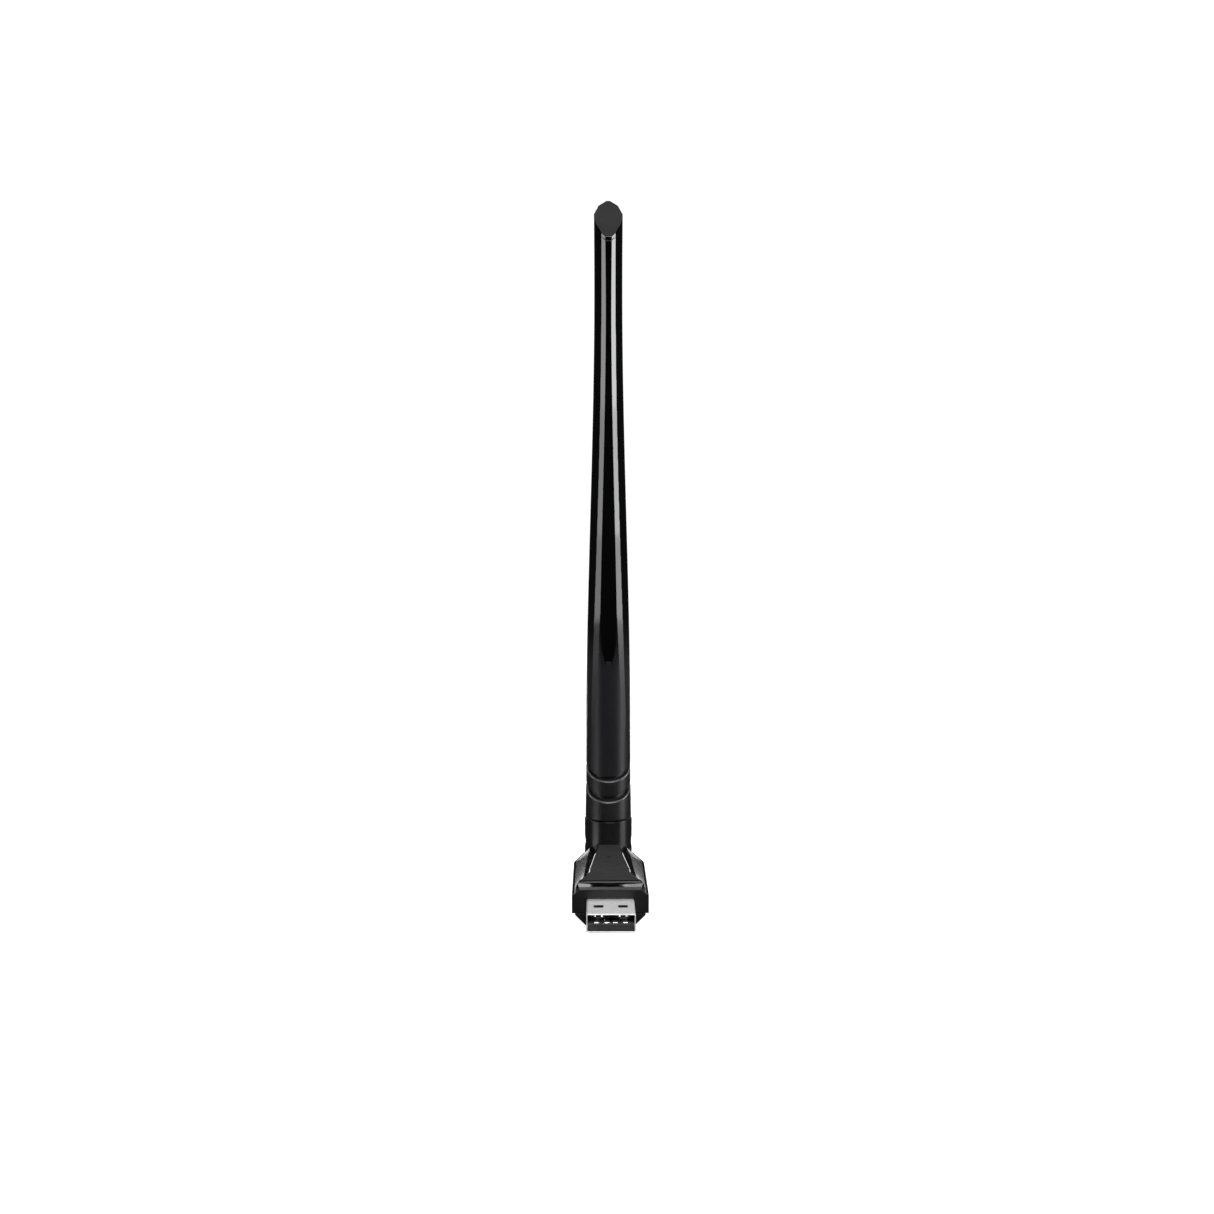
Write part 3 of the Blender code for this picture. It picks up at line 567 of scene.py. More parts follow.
def polished(name, colour, rough=(0.05, 0.11), satin_below=None):
    """Piano-black plastic: faint swirls and handling marks, satin below a height."""
    finish = Finish(name, IOR=1.5)
    cloud = finish.noise(0.08, 2.0)
    shade = finish.blend(cloud, opaque(colour, 0.7), opaque(colour, 1.4))
    rubbed = finish.exposed().above(0.4, 0.95) * finish.noise(1.1, 3.0).above(0.35, 0.7)
    shade = finish.blend(rubbed * 0.3, shade, opaque([value * 3 + 0.008 for value in colour]))
    hairline = finish.noise(1.6, 3.0, (14.0, 14.0, 0.8)).above(0.62, 0.7)
    smear = finish.noise(0.16, 3.0).above(0.45, 0.75)
    low, high = rough
    gloss = low + (high - low) * smear + 0.04 * hairline + 0.1 * rubbed
    if satin_below is not None:
        split = finish.node("ShaderNodeSeparateXYZ", None, {"Vector": finish.place})
        height = Flow(finish, split.outputs["Z"]) / MM
        satin = 1 - height.above(satin_below - 3.0, satin_below + 15.0)
        gloss = gloss + satin * (0.26 + 0.04 * finish.noise(0.35, 3.0))
        shade = finish.blend(satin, shade, opaque(colour, 9.0))
    finish.relief(finish.noise(0.5, 2.0) + 0.15 * hairline, 0.0012)
    return finish.surface(shade, gloss)


def metal(name, colour, rough, stretch, metallic):
    """Plated sheet metal: rolled grain, dull patches and bright rubbed edges."""
    finish = Finish(name, Metallic=metallic)
    grain = finish.noise(2.4, 4.0, stretch)
    patch = finish.noise(0.35, 4.0).above(0.35, 0.7)
    rubbed = finish.exposed().above(0.3, 0.9)
    shade = finish.blend(patch, opaque(colour), opaque(colour, 0.86))
    shade = finish.blend(rubbed * 0.5, shade, opaque(colour, 1.2))
    low, high = rough
    finish.relief(grain, 0.002)
    return finish.surface(shade, low + (high - low) * (0.6 * patch + 0.4 * grain) - rubbed * 0.05)


def solder_mask():
    """Green board: copper traces under lacquer, round plated holes."""
    finish = Finish("board_lacquer", IOR=1.5)
    brick = finish.node("ShaderNodeTexBrick", {"offset": 0.5}, {
        "Vector": finish.place, "Scale": 0.55 / MM, "Mortar Size": 0.06, "Mortar Smooth": 0.1})
    trace = Flow(finish, brick.outputs["Fac"])
    shade = finish.blend(trace, (0.010, 0.075, 0.032, 1), (0.022, 0.15, 0.06, 1))
    hole = 1 - finish.cells(0.45).above(0.12, 0.16)
    shade = finish.blend(hole * 0.8, shade, (0.5, 0.42, 0.24, 1))
    finish.relief(trace + finish.noise(3.0), 0.01)
    return finish.surface(shade, 0.32 + 0.14 * finish.noise(0.6))


def clear_light():
    """Smoked plastic of the indicator."""
    finish = Finish("indicator_clear", IOR=1.49, Transmission_Weight=0.35)
    cloud = finish.noise(2.0, 3.0)
    shade = finish.blend(cloud, (0.010, 0.012, 0.011, 1), (0.022, 0.026, 0.024, 1))
    finish.relief(finish.noise(6.0), 0.004)
    return finish.surface(shade, 0.25 + 0.2 * cloud)


FINISHES = {}


def make_finishes(colours):
    """Every finish by the name that the pieces use."""
    def times(colour, scale):
        return [value * scale for value in colour]

    satin = colours.satin
    along_plug = (0.25, 3.0, 3.0)
    FINISHES.update({
        "polished": polished("polished_black", colours.gloss),
        "cover": polished("cover_black", colours.gloss, (0.06, 0.1), FACET_START),
        "facet": plastic("sheen_black", times(satin, 1.1), (0.26, 0.3), 3.0, 0.0001,
                         wear=0.1, tint=1.04),
        "satin": plastic("satin_black", times(satin, 0.85), (0.36, 0.46), 4.0, 0.0016,
                         specular=0.4),
        "foot": plastic("foot_black", times(satin, 1.1), (0.32, 0.38), 4.0, 0.0004),
        "knuckle": plastic("knuckle_black", times(satin, 0.9), (0.2, 0.26), 4.0, 0.0002,
                           wear=0.12, tint=1.08),
        # Satin black eight times lighter for the upper rounded edges of the foot and ring: a
        # painted highlight, with rubbed wear on top.
        "rim": plastic("rim_painted_highlight", times(satin, 8), (0.2, 0.26), 4.0, 0.0002, wear=0.4),
        "matte": plastic("spark_matte", colours.matte, (0.6, 0.7), 6.0, 0.003, specular=0.07,
                         tint=1.06),
        "insulator": plastic("moulded_tongue", colours.insulator, (0.42, 0.52), 6.0, 0.002),
        "nickel": metal("nickel_plate", colours.nickel, (0.3, 0.42), along_plug, 0.55),
        # Nickel at 0.12 of its brightness: painted shade for the plug's inner faces and openings.
        "inside": metal("nickel_painted_shade", times(colours.nickel, 0.12), (0.4, 0.5), along_plug, 0.6),
        "gold": metal("contact_plate", colours.gold, (0.18, 0.26), (3.0, 0.3, 3.0), 0.85),
        "steel": metal("spring_steel", (0.5, 0.5, 0.51), (0.3, 0.45), (1.0, 4.0, 4.0), 0.9),
        "chip": plastic("chip_resin", (0.02, 0.02, 0.022), (0.5, 0.62), 8.0, 0.004),
        "bush": plastic("acetal", (0.72, 0.71, 0.67), (0.38, 0.48), 4.0, 0.002, tint=1.04),
        "jacket": plastic("lead_jacket", (0.022, 0.022, 0.023), (0.42, 0.54), 6.0, 0.003),
        "board": solder_mask(),
        "light": clear_light(),
    })


# ---------------------------------------------------------------------- plug

def plug_ring(inset, y):
    """A loop round the plug's shell."""
    x, z = PLUG_HIGH[0] - inset, PLUG_HIGH[2] - inset
    corner = max(PLUG_CORNER - inset, 0.28)
    return along_y(rectangle((-x, -z), (x, z), corner, 8, 12), y)


def make_plug_shell():
    """Rolled shell with a rounded lip, four windows and a seam underneath."""
    lip = PLUG_WALL / 2
    front, root = PLUG_LOW[1], PLUG_HIGH[1]
    rows = 16
    stops = [front + lip + (root - front - lip) * row / rows for row in range(rows + 1)]
    rings = [plug_ring(0.0, y) for y in reversed(stops)]
    steps = 6
    for step in range(1, steps):
        turn = math.pi * step / steps
        rings.append(plug_ring(lip - lip * math.cos(turn), front + lip - lip * math.sin(turn)))
    rings += [plug_ring(PLUG_WALL, y) for y in stops]
    shell = new_piece("plug_shell", skin(rings, closed=True), ["nickel", "inside"])
    behind = front + 0.4
    # The shell's inner faces get the darker nickel: painted shade inside the plug.
    repaint(shell, 1, lambda at, normal: at.y > behind and max(
        abs(at.x) - PLUG_HIGH[0], abs(at.z) - PLUG_HIGH[2]) < -0.2)
    half_x, half_y = WINDOW_HALF
    for x in (-WINDOW_ACROSS, WINDOW_ACROSS):
        outline = rectangle((x - half_x, WINDOW_Y - half_y), (x + half_x, WINDOW_Y + half_y),
                            0.2, 4, 2)
        for low, high in ((1.2, 3.2), (-3.2, -1.2)):
            carve(shell, skin([along_z(outline, low), along_z(outline, high)]))
    carve(shell, block((-0.04, front - 1, -3.0), (0.04, root + 1, PLUG_LOW[2] + 0.1), 0.01))
    # The walls of the windows and of the seam also get the darker nickel: painted shade in these
    # openings.
    side = PLUG_HIGH[0] - PLUG_WALL - 0.1
    repaint(shell, 1, lambda at, normal: (
        at.y > behind and abs(normal.z) < 0.6 and abs(at.x) < side))
    hand_over(shell, "adapter", "nickel_shell", "usb_shell", smooth=40)


def make_plug_tongue():
    """Moulded tongue with softened edges that carries the contacts."""
    low, high = TONGUE_LOW, TONGUE_HIGH
    half, chamfer = high[0], 0.35
    outline = soft_outline(mirrored([
        (half - chamfer, low[2], 0.22), (half, low[2] + chamfer, 0.22), (half, high[2], 0.2),
    ]), 4, 10)
    bm = rounded_prism(along_y, outline, low[1], high[1], 0.16, 4, 16)
    tongue = new_piece("plug_tongue", bm, ["insulator"])
    hand_over(tongue, "adapter", "insulator", "usb_insulator")


def ribbon_tree():
    """A node tree that sweeps a rounded strip along every path of a mesh."""
    tree = bpy.data.node_groups.new("ribbon_along_paths", "GeometryNodeTree")
    face = tree.interface
    face.new_socket("Geometry", in_out="INPUT", socket_type="NodeSocketGeometry")
    for name, default in (("Width", MM), ("Thickness", 0.1 * MM), ("Corner", 0.02 * MM)):
        socket = face.new_socket(name, in_out="INPUT", socket_type="NodeSocketFloat")
        socket.default_value = default
        socket.subtype = "DISTANCE"
    face.new_socket("Finish", in_out="INPUT", socket_type="NodeSocketMaterial")
    face.new_socket("Geometry", in_out="OUTPUT", socket_type="NodeSocketGeometry")

    def node(kind, links=None, **settings):
        item = tree.nodes.new(kind)
        for key, value in settings.items():
            setattr(item, key, value)
        for key, value in (links or {}).items():
            if isinstance(value, bpy.types.NodeSocket):
                tree.links.new(value, item.inputs[key])
            else:
                item.inputs[key].default_value = value
        return item

    start = node("NodeGroupInput").outputs
    paths = node("GeometryNodeMeshToCurve", {"Mesh": start["Geometry"]})
    upright = node("GeometryNodeSetCurveNormal", {"Curve": paths.outputs[0]}, mode="Z_UP")
    profile = node("GeometryNodeCurvePrimitiveQuadrilateral", {
        "Width": start["Width"], "Height": start["Thickness"]})
    soft = node("GeometryNodeFilletCurve", {
        "Curve": profile.outputs[0], "Radius": start["Corner"], "Count": 3}, mode="POLY")
    swept = node("GeometryNodeCurveToMesh", {
        "Curve": upright.outputs[0], "Profile Curve": soft.outputs[0], "Fill Caps": True})
    whole = node("GeometryNodeRealizeInstances", {"Geometry": swept.outputs[0]})
    painted = node("GeometryNodeSetMaterial", {
        "Geometry": whole.outputs[0], "Material": start["Finish"]})
    node("NodeGroupOutput", {"Geometry": painted.outputs[0]})
    return tree


def make_ribbons(name, paths, width, thickness, nodes):
    """Contacts as strips along their paths, through the ribbon tree."""
    mesh = bpy.data.meshes.new(name)
    points = []
    edges = []
    for path in paths:
        first = len(points)
        points.extend(Vector(point) * MM for point in path)
        edges.extend((first + i, first + i + 1) for i in range(len(path) - 1))
    mesh.from_pydata(points, edges, [])
    piece = link(name, mesh)
    tree = bpy.data.node_groups.get("ribbon_along_paths") or ribbon_tree()
    modifier = piece.modifiers.new("ribbons", "NODES")
    modifier.node_group = tree
    sockets = {item.name: item.identifier for item in tree.interface.items_tree
               if item.item_type == "SOCKET" and item.in_out == "INPUT"}
    modifier[sockets["Width"]] = width * MM
    modifier[sockets["Thickness"]] = thickness * MM
    modifier[sockets["Corner"]] = 0.35 * thickness * MM
    modifier[sockets["Finish"]] = FINISHES["gold"]
    settle(piece)
    bm = bmesh.new()
    bm.from_mesh(piece.data)
    bmesh.ops.remove_doubles(bm, verts=bm.verts, dist=SAME_POINT * MM)
    bmesh.ops.recalc_face_normals(bm, faces=bm.faces)
    bm.to_mesh(piece.data)
    bm.free()
    hand_over(piece, "adapter", "gold_contact", *nodes)


def make_contacts():
    """Four flat pads with turned-down fronts and five sprung leaves behind."""
    thickness = PADS[0][1][2] - PADS[0][0][2]
    paths = []
    for low, high in PADS:
        x = (low[0] + high[0]) / 2
        z = (low[2] + high[2]) / 2
        length = high[1] - low[1]
        path = [(x, low[1] + 0.05 + back, z - drop) for back, drop in
                ((0.0, 0.15), (0.004, 0.09), (0.02, 0.05), (0.05, 0.018), (0.1, 0.0))]
        path += [(x, low[1] + 0.3 + (length - 0.3) * step / 8, z) for step in range(9)]
        paths.append(path)
    width = PADS[0][1][0] - PADS[0][0][0]
    make_ribbons("flat_contacts", paths, width, thickness,
                 [f"usb_contact_{number}" for number in range(1, 5)])

    paths = []
    steps = 24
    for low, high in LEAVES:
        x = (low[0] + high[0]) / 2
        foot = low[2] + thickness / 2
        rise = high[2] - low[2] - thickness
        path = []
        for step in range(steps + 1):
            part = 0.5 * step / steps
            y = low[1] + (high[1] - low[1]) * part
            if y < LEAF_END:
                path.append((x, y, foot + rise * math.sin(math.pi * part * 1.6)))
        paths.append(path)
    width = LEAVES[0][1][0] - LEAVES[0][0][0]
    make_ribbons("sprung_contacts", paths, width, thickness,
                 [f"fast_contact_{number}" for number in range(1, 6)])


# ---------------------------------------------------------------------- body

# Distance back, half width, shoulder, inner edge of the upper shell.
SHELL_KEYS = (
    (0.0, 9.7, (7.9, 4.55), (7.6, 4.65)),
    (1.2, 9.7, (8.2, 4.85), (7.95, 5.0)),
    (2.6, 9.7, (8.6, 5.3), (8.35, 5.6)),
    (3.1, 9.7, (8.5, 5.35), (8.25, 5.6)),
    (5.0, 9.7, (7.75, 5.42), (7.5, 5.6)),
    (8.0, 9.7, (6.95, 5.45), (6.5, 5.6)),
    (12.6, 9.7, (6.6, 5.35), (5.6, 5.6)),
    (30.0, 9.7, (5.9, 5.1), (3.95, 5.6)),
    (39.8, 7.0, (5.1, 4.9), (2.95, 5.6)),
)
LEDGE = (0.6, 3.5)
SIDE_TOP = 3.4
SHELL_STEPS = 4
SHELL_PARTS = 5


def shell_values(y, blur=0.0):
    """The key values at a distance back, eased over a short length."""
    if blur:
        samples = [shell_values(min(max(y + blur * shift, 0.0), SHELL_HIGH[1]))
                   for shift in (-1.0, -0.5, 0.0, 0.5, 1.0)]
        return [sum(column) / len(samples) for column in zip(*samples)]
    keys = SHELL_KEYS
    for (y0, half0, shoulder0, edge0), (y1, half1, shoulder1, edge1) in zip(keys, keys[1:]):
        if y <= y1 or y1 == keys[-1][0]:
            part = (y - y0) / (y1 - y0)
            first = (half0, *shoulder0, *edge0)
            second = (half1, *shoulder1, *edge1)
            return [a + (b - a) * part for a, b in zip(first, second)]
    raise RuntimeError("no key reaches that far back")


def shell_outline(y, edge, soft=0.0):
    blur = min(0.5, y * 0.35 + 0.02, 0.02 + (SHELL_HIGH[1] - y) * 0.5)
    half, shoulder_x, shoulder_z, edge_x, edge_z = shell_values(y, blur)
    corners = mirrored([
        (half, SHELL_LOW[2], 0.12 + soft),
        (half, SIDE_TOP, edge + soft),
        (half - LEDGE[0], LEDGE[1], 0.12 + soft),
        (shoulder_x, shoulder_z, 0.12 + soft),
        (edge_x, edge_z, 0.08 + soft),
    ])
    return soft_outline(corners, SHELL_STEPS, SHELL_PARTS)


def shell_paint(column):
    """Satin sides, a sheen on the outer facets, polished inner facets."""
    size = SHELL_STEPS + SHELL_PARTS
    corner, offset = divmod(column, size)
    straight = offset >= SHELL_STEPS
    corner = corner if corner < 5 else 8 - corner if straight else 9 - corner
    if corner == 0 or (corner == 1 and not straight):
        return 1
    return 2 if corner == 2 and straight else 0


def stations(low, high, keys, step=0.7, fine=0.14):
    """Distances for sections, close together near the keys."""
    stops = {low, high}
    count = round((high - low) / step)
    stops.update(low + (high - low) * i / count for i in range(count + 1))
    for key in keys:
        stops.update(key + fine * i for i in range(-4, 5) if low < key + fine * i < high)
    ordered = sorted(stops)
    kept = [ordered[0]]
    for stop in ordered[1:]:
        if stop - kept[-1] > 0.6 * fine:
            kept.append(stop)
    kept[-1] = high
    return kept


def body_skin(outline_at, low, high, keys, edge, **paints):
    """A shell whose outline changes along the body, with rounded front and rear rims."""
    rings = []
    rims = quarter(edge)
    for inset, advance in rims[:-1]:
        outline = outline_at(low + advance, 0.8 * inset)
        rings.append(along_y(shrunk(outline, inset), low + advance))
    for y in stations(low + edge, high - edge, keys):
        rings.append(along_y(outline_at(y), y))
    for inset, advance in reversed(rims[:-1]):
        outline = outline_at(high - advance, 0.8 * inset)
        rings.append(along_y(shrunk(outline, inset), high - advance))
    return skin(rings, **paints)


def plate_corners(grow, corner):
    """The plate seen from above: wide front, curved waist, narrow rear."""
    half = [(8.3 + grow, PLATE_LOW[1] - grow, corner)]
    steps = 8
    for step in range(steps + 1):
        part = step / steps
        y = 4.2 + 10.4 * part
        x = 5.37 + 2.48 * (1 - part) ** 2.1
        half.append((x + grow, y, 0.6))
    half.append((3.05 + grow, PLATE_HIGH[1] + grow, corner))
    return mirrored(half)


def plug_clearance():
    x, z = PLUG_HIGH[0] + PLUG_GAP, PLUG_HIGH[2] + PLUG_GAP
    outline = rectangle((-x, -z), (x, z), 0.7, 5, 2)
    return skin([along_y(outline, -1.0), along_y(outline, 2.3)])


def bush_clearance():
    rear = SHELL_HIGH[1]
    return rod(along_y, (0, SWIVEL_Z), BUSH_R + RUNNING_GAP, rear - 2.3, rear + 1.0)


def pipe_clearance():
    return rod(along_z, PIPE_MIDDLE, PIPE_R + RUNNING_GAP, 1.0, 8.0, count=32)


def make_upper_shell(sizes):
    """Faceted upper shell with its cavity, plate recess and openings."""
    edge = sizes.edge / MM
    keys = [key[0] for key in SHELL_KEYS[1:-1]]
    bm = body_skin(lambda y, soft=0.0: shell_outline(y, edge, soft), SHELL_LOW[1], SHELL_HIGH[1],
                   keys, 0.2, paint=shell_paint, cap_paint=1)
    shell = new_piece("upper_shell", bm, ["polished", "satin", "facet"])
    repaint(shell, 1, lambda at, normal: at.y < SHELL_KEYS[1][0] and normal.z > 0.3)
    rings = []
    for y, half in ((BODY_WALL, 8.2), (BODY_NARROWS, 8.2), (SHELL_HIGH[1] - BODY_WALL, 5.9)):
        half_corners = [(half, SHELL_LOW[2] - 1, 0.1), (half, 2.4, 0.3), (half - 2.8, 4.15, 0.3)]
        rings.append(along_y(soft_outline(mirrored(half_corners), 3, 2), y))
    recess = soft_outline(plate_corners(RECESS_GAP, 0.35), 3, 2)
    floor = PLATE_LOW[2] - RECESS_GAP
    carve(shell, skin(rings), skin([along_z(recess, floor), along_z(recess, 8.0)]),
          plug_clearance(), bush_clearance(), pipe_clearance())
    hand_over(shell, "adapter", "gloss_cover", "top_cover")


def make_top_plate(sizes):
    """Matte plate with a bright narrow chamfer all round."""
    outline = soft_outline(plate_corners(0.0, 0.6), 4, 4)
    chamfer = sizes.plate_chamfer / MM
    low, high = PLATE_LOW[2], PLATE_HIGH[2]
    foot = low + 0.05
    rings = [along_z(shrunk(outline, 0.05), low), along_z(outline, foot)]
    rings += [along_z(outline, foot + (high - chamfer - foot) * part) for part in (0.5, 1.0)]
    for part in (0.2, 0.4, 0.6, 0.8):
        bulge = 0.03 * math.sin(math.pi * part)
        rings.append(along_z(shrunk(outline, chamfer * part - bulge),
                             high - chamfer + chamfer * part + bulge * 0.3))
    rings += [along_z(shrunk(outline, chamfer + inset), high) for inset in (0.0, 0.1)]
    plate = new_piece("top_plate_panel", skin(rings, scales=()), ["matte", "polished"], smooth=25)
    repaint(plate, 1, lambda at, normal: 0.3 < normal.z < 0.93)
    carve(plate, pipe_clearance())
    hand_over(plate, "adapter", "matte_plate", "top_plate", smooth=25)


def make_light_pipe():
    """Indicator with a domed end just under the plate's face."""
    shoulder = PIPE_HIGH[2] - 0.32
    profile = [(PIPE_R - 0.05, PIPE_LOW[2]), (PIPE_R, PIPE_LOW[2] + 0.05), (PIPE_R, shoulder)]
    for step in range(1, 9):
        turn = math.radians(10 * step)
        profile.append((PIPE_R * math.cos(turn), shoulder + 0.2 * math.sin(turn)))
    rings = [along_z(circle(reach, 32, PIPE_MIDDLE), z) for reach, z in profile]
    lens = new_piece("indicator_lens", skin(rings), ["light"])
    hand_over(lens, "adapter", "light_pipe", "led_light_pipe")


def tray_outline(y, soft=0.0):
    """The tray's section: flat floor, wide chamfers and a short upright side."""
    part = max(0.0, (y - BODY_NARROWS) / (TRAY_HIGH[1] - BODY_NARROWS))
    half = TRAY_HIGH[0] + (TRAY_REAR_HALF - TRAY_HIGH[0]) * part
    low = TRAY_LOW[2]
    return soft_outline(mirrored([
        (half - 2.8, low, 0.3 + soft),
        (half - 2.5, low + 0.2, 0.3 + soft),
        (half, low + 2.7, 0.15 + soft),
        (half, TRAY_HIGH[2], 0.08 + soft),
    ]), 4, 5)


def make_lower_tray():
    """Lower tray with a shallow blank panel and two snap marks underneath."""
    bm = body_skin(tray_outline, TRAY_LOW[1], TRAY_HIGH[1], [BODY_NARROWS], 0.06,
                   scales=(0.9, 0.7, 0.4))
    tray = new_piece("lower_tray", bm, ["satin"])
    low = TRAY_LOW[2]
    floor = low + 1.0
    rings = []
    for y, inner in ((BODY_WALL, 7.9), (BODY_NARROWS, 7.9),
                     (TRAY_HIGH[1] - BODY_WALL, TRAY_REAR_HALF - 1.0)):
        half_corners = [(inner - 1.9, floor, 0.2), (inner, floor + 1.7, 0.3),
                        (inner, TRAY_HIGH[2] + 1.0, 0.1)]
        rings.append(along_y(soft_outline(mirrored(half_corners), 3, 2), y))
    panel = block((-4.6, 7.0, low - 2.0), (4.6, 27.0, low + 0.18), 0.3)
    carve(tray, skin(rings), plug_clearance(), bush_clearance(), panel)
    for y in (4.0, 34.6):
        carve(tray, block((-1.1, y - 0.3, low - 1.5), (1.1, y + 0.3, low + 0.3), 0.1))
    hand_over(tray, "adapter", "satin_case", "bottom_tray")


# ------------------------------------------------------------------- knuckle

def knuckle_rings(radius, count):
    """Upright cylinder with a bevelled foot and a rear top rounded about the fold."""
    low, top = KNUCKLE_LOW[2], KNUCKLE_HIGH[2]
    reach = top - FOLD_Z
    bevel = 1.2
    soft = 0.14
    profile = [(radius - bevel - 0.2, low), (radius - bevel + 0.05, low + 0.07)]
    profile += [(radius - bevel * (1 - part), low + bevel * part) for part in (0.2, 0.4, 0.6, 0.8)]
    profile += [(radius - 0.07, low + bevel - 0.05), (radius, low + bevel + 0.2)]
    rows = 14
    start = low + bevel + 0.2
    profile += [(radius, start + (FOLD_Z - start) * row / rows) for row in range(1, rows + 1)]
    steps = 40
    last = math.asin((reach - soft) / reach)
    profile += [(radius, FOLD_Z + reach * math.sin(last * step / steps))
                for step in range(1, steps + 1)]
    profile += [(radius - inset, top - advance) for inset, advance in reversed(quarter(soft, 5))]
    rings = []
    for wide, z in profile:
        limit = math.sqrt(max(reach ** 2 - max(z - FOLD_Z, 0.0) ** 2, 0.0))
        limit = max(limit, 0.02)
        ring = []
        for i in range(count):
            turn = math.tau * i / count
            x = wide * math.sin(turn)
            y = min(-wide * math.cos(turn), limit)
            ring.append((x, AXIS_Y + y, z))
        rings.append(ring)
    return rings


def make_knuckle(sizes):
    """Swivelling knuckle with its shaft, boss, slot and pin holes."""
    radius = KNUCKLE_HIGH[0]
    piece = new_piece("swivel_knuckle_body", skin(knuckle_rings(radius, sizes.columns)),
                      ["knuckle"])
    start, top = KNUCKLE_LOW[1], KNUCKLE_HIGH[2]
    profile = [(start, SHAFT_R - 0.3), (start + 0.3, SHAFT_R), (35.7, SHAFT_R), (35.7, 2.0),
               (36.5, 2.0), (36.5, SHAFT_R), (BOSS_START, SHAFT_R), (BOSS_START, BOSS_R - 0.15),
               (BOSS_START + 0.05, BOSS_R - 0.05), (BOSS_START + 0.15, BOSS_R),
               (AXIS_Y - 3.4, BOSS_R)]
    rings = [along_y(circle(reach, 96, (0, SWIVEL_Z)), y) for y, reach in profile]
    carve(piece, skin(rings), operation="UNION")

    wide = 2 * radius
    rear, above = AXIS_Y + wide, top + 3
    outline = soft_outline([(SLOT_FRONT, SLOT_FLOOR, 0.9), (rear, SLOT_FLOOR, 0.1),
                            (rear, above, 0.1), (SLOT_FRONT, above, 0.1)], 6, 2)
    slot = skin([along_x(outline, -SLOT_HALF), along_x(outline, SLOT_HALF)])
    bore = rod(along_y, (0, SWIVEL_Z), 1.2, start - 1.0, SLOT_FRONT + 1.8)
    hole = rod(along_x, FOLD_AXIS, PIN_R + RUNNING_GAP, -wide, wide)
    carve(piece, slot, bore, hole)
    for side in (-1, 1):
        depth = sorted((side * (radius - 0.75), side * wide))
        carve(piece, rod(along_x, FOLD_AXIS, PIN_SINK_R, *depth, count=64))
    hand_over(piece, "knuckle", "gloss_antenna", "swivel_knuckle")


def make_pin():
    """Fold pin with domed, centre-drilled ends."""
    half = PIN_END
    profile = [(0.12, half - 0.1), (0.22, half - 0.02), (0.5, half - 0.02), (0.8, half - 0.1),
               (0.95, half - 0.25), (PIN_R, half - 0.4)]
    rings = [along_x(circle(reach, 48, FOLD_AXIS), -x) for reach, x in profile]
    rings += [along_x(circle(PIN_R, 48, FOLD_AXIS), x) for x in (-3.5, -1.5, 0, 1.5, 3.5)]
    rings += [along_x(circle(reach, 48, FOLD_AXIS), x) for reach, x in reversed(profile)]
    pin = new_piece("fold_pin_turned", skin(rings), ["steel"])
    hand_over(pin, "knuckle", "steel", "fold_pin")


# ------------------------------------------------------------------- antenna

def half_width(z):
    """Half the cover's width: round foot, smooth taper, faint flare at the tip."""
    part = min(max((z - TAPER_START) / (TAPER_END - TAPER_START), 0.0), 1.0)
    ease = part * part * (3 - 2 * part)
    flare = max(0.0, (z - TAPER_END) / 20) ** 2 * 0.08
    return STEM_R + (TIP_HALF - STEM_R) * ease + flare


def facet_planes(z):
    """Facet directions, in degrees from the front, with their distances from the axis."""
    width = half_width(z)
    share = (STEM_R - width) / (STEM_R - half_width(TAPER_END))
    rise = min(max(0.0, (z - FACET_START) / (TIP_Z - FACET_START)), 1.0)
    front = STEM_R - 0.26 * min(max(z - FACET_START, 0.0) / 5, 1.0) ** 0.5
    front -= 0.97 * (1 - (1 - rise) ** 1.6)
    return {0: front, 43: STEM_R - 2.05 * share, 60: STEM_R - 2.64 * share ** 0.83,
            75: STEM_R - 2.62 * share, 90: width, 118: STEM_R - 2.3 * share,
            148: STEM_R - 1.85 * share, 180: STEM_R - 1.3 * share}


def cover_reach(turn, z, planes):
    reach = STEM_R
    for degrees, distance in planes.items():
        for sign in (-1, 1):
            across = math.cos(turn - sign * math.radians(degrees))
            if across > 1e-6:
                reach = min(reach, distance / across)
    return reach


def facet_turns(planes, count):
    """Even turns, with the nearest one moved onto each facet edge."""
    turns = [math.tau * i / count for i in range(count)]
    angles = sorted(planes)
    for first, second in zip(angles, angles[1:]):
        a, b = math.radians(first), math.radians(second)
        p, q = planes[first], planes[second]
        meet = math.atan2(q * math.cos(a) - p * math.cos(b), p * math.sin(b) - q * math.sin(a))
        if not a < meet < b or p / math.cos(meet - a) > STEM_R:
            continue
        column = round(meet / math.tau * count)
        turns[column] = meet
        turns[-column] = math.tau - meet
    return turns


def slanted_ring(height, slope, pivot, count, inset=0.0, radius=None):
    """A loop of the cover at a height, tilted so that it rises towards the rear."""
    ring = []
    level = facet_turns(facet_planes(height), count) if radius is None else None
    for i in range(count):
        turn = level[i] if level else math.tau * i / count
        z = height
        for _ in range(4 if slope else 1):
            reach = radius if radius is not None else cover_reach(turn, z, facet_planes(z)) - inset
            y = -reach * math.cos(turn)
            z = height + slope * (y - pivot)
        ring.append((reach * math.sin(turn), AXIS_Y + y, z))
    return ring


def paint_rim_highlight(piece, low):
    """Give the upper rounded edge the lighter rim finish: a painted highlight, with rubbed wear on
    top.
    """
    repaint(piece, 1, lambda at, normal: (
        at.z > low and 0.12 < normal.z < 0.82
        and math.hypot(at.x, at.y - AXIS_Y) > STEM_R - 0.45))


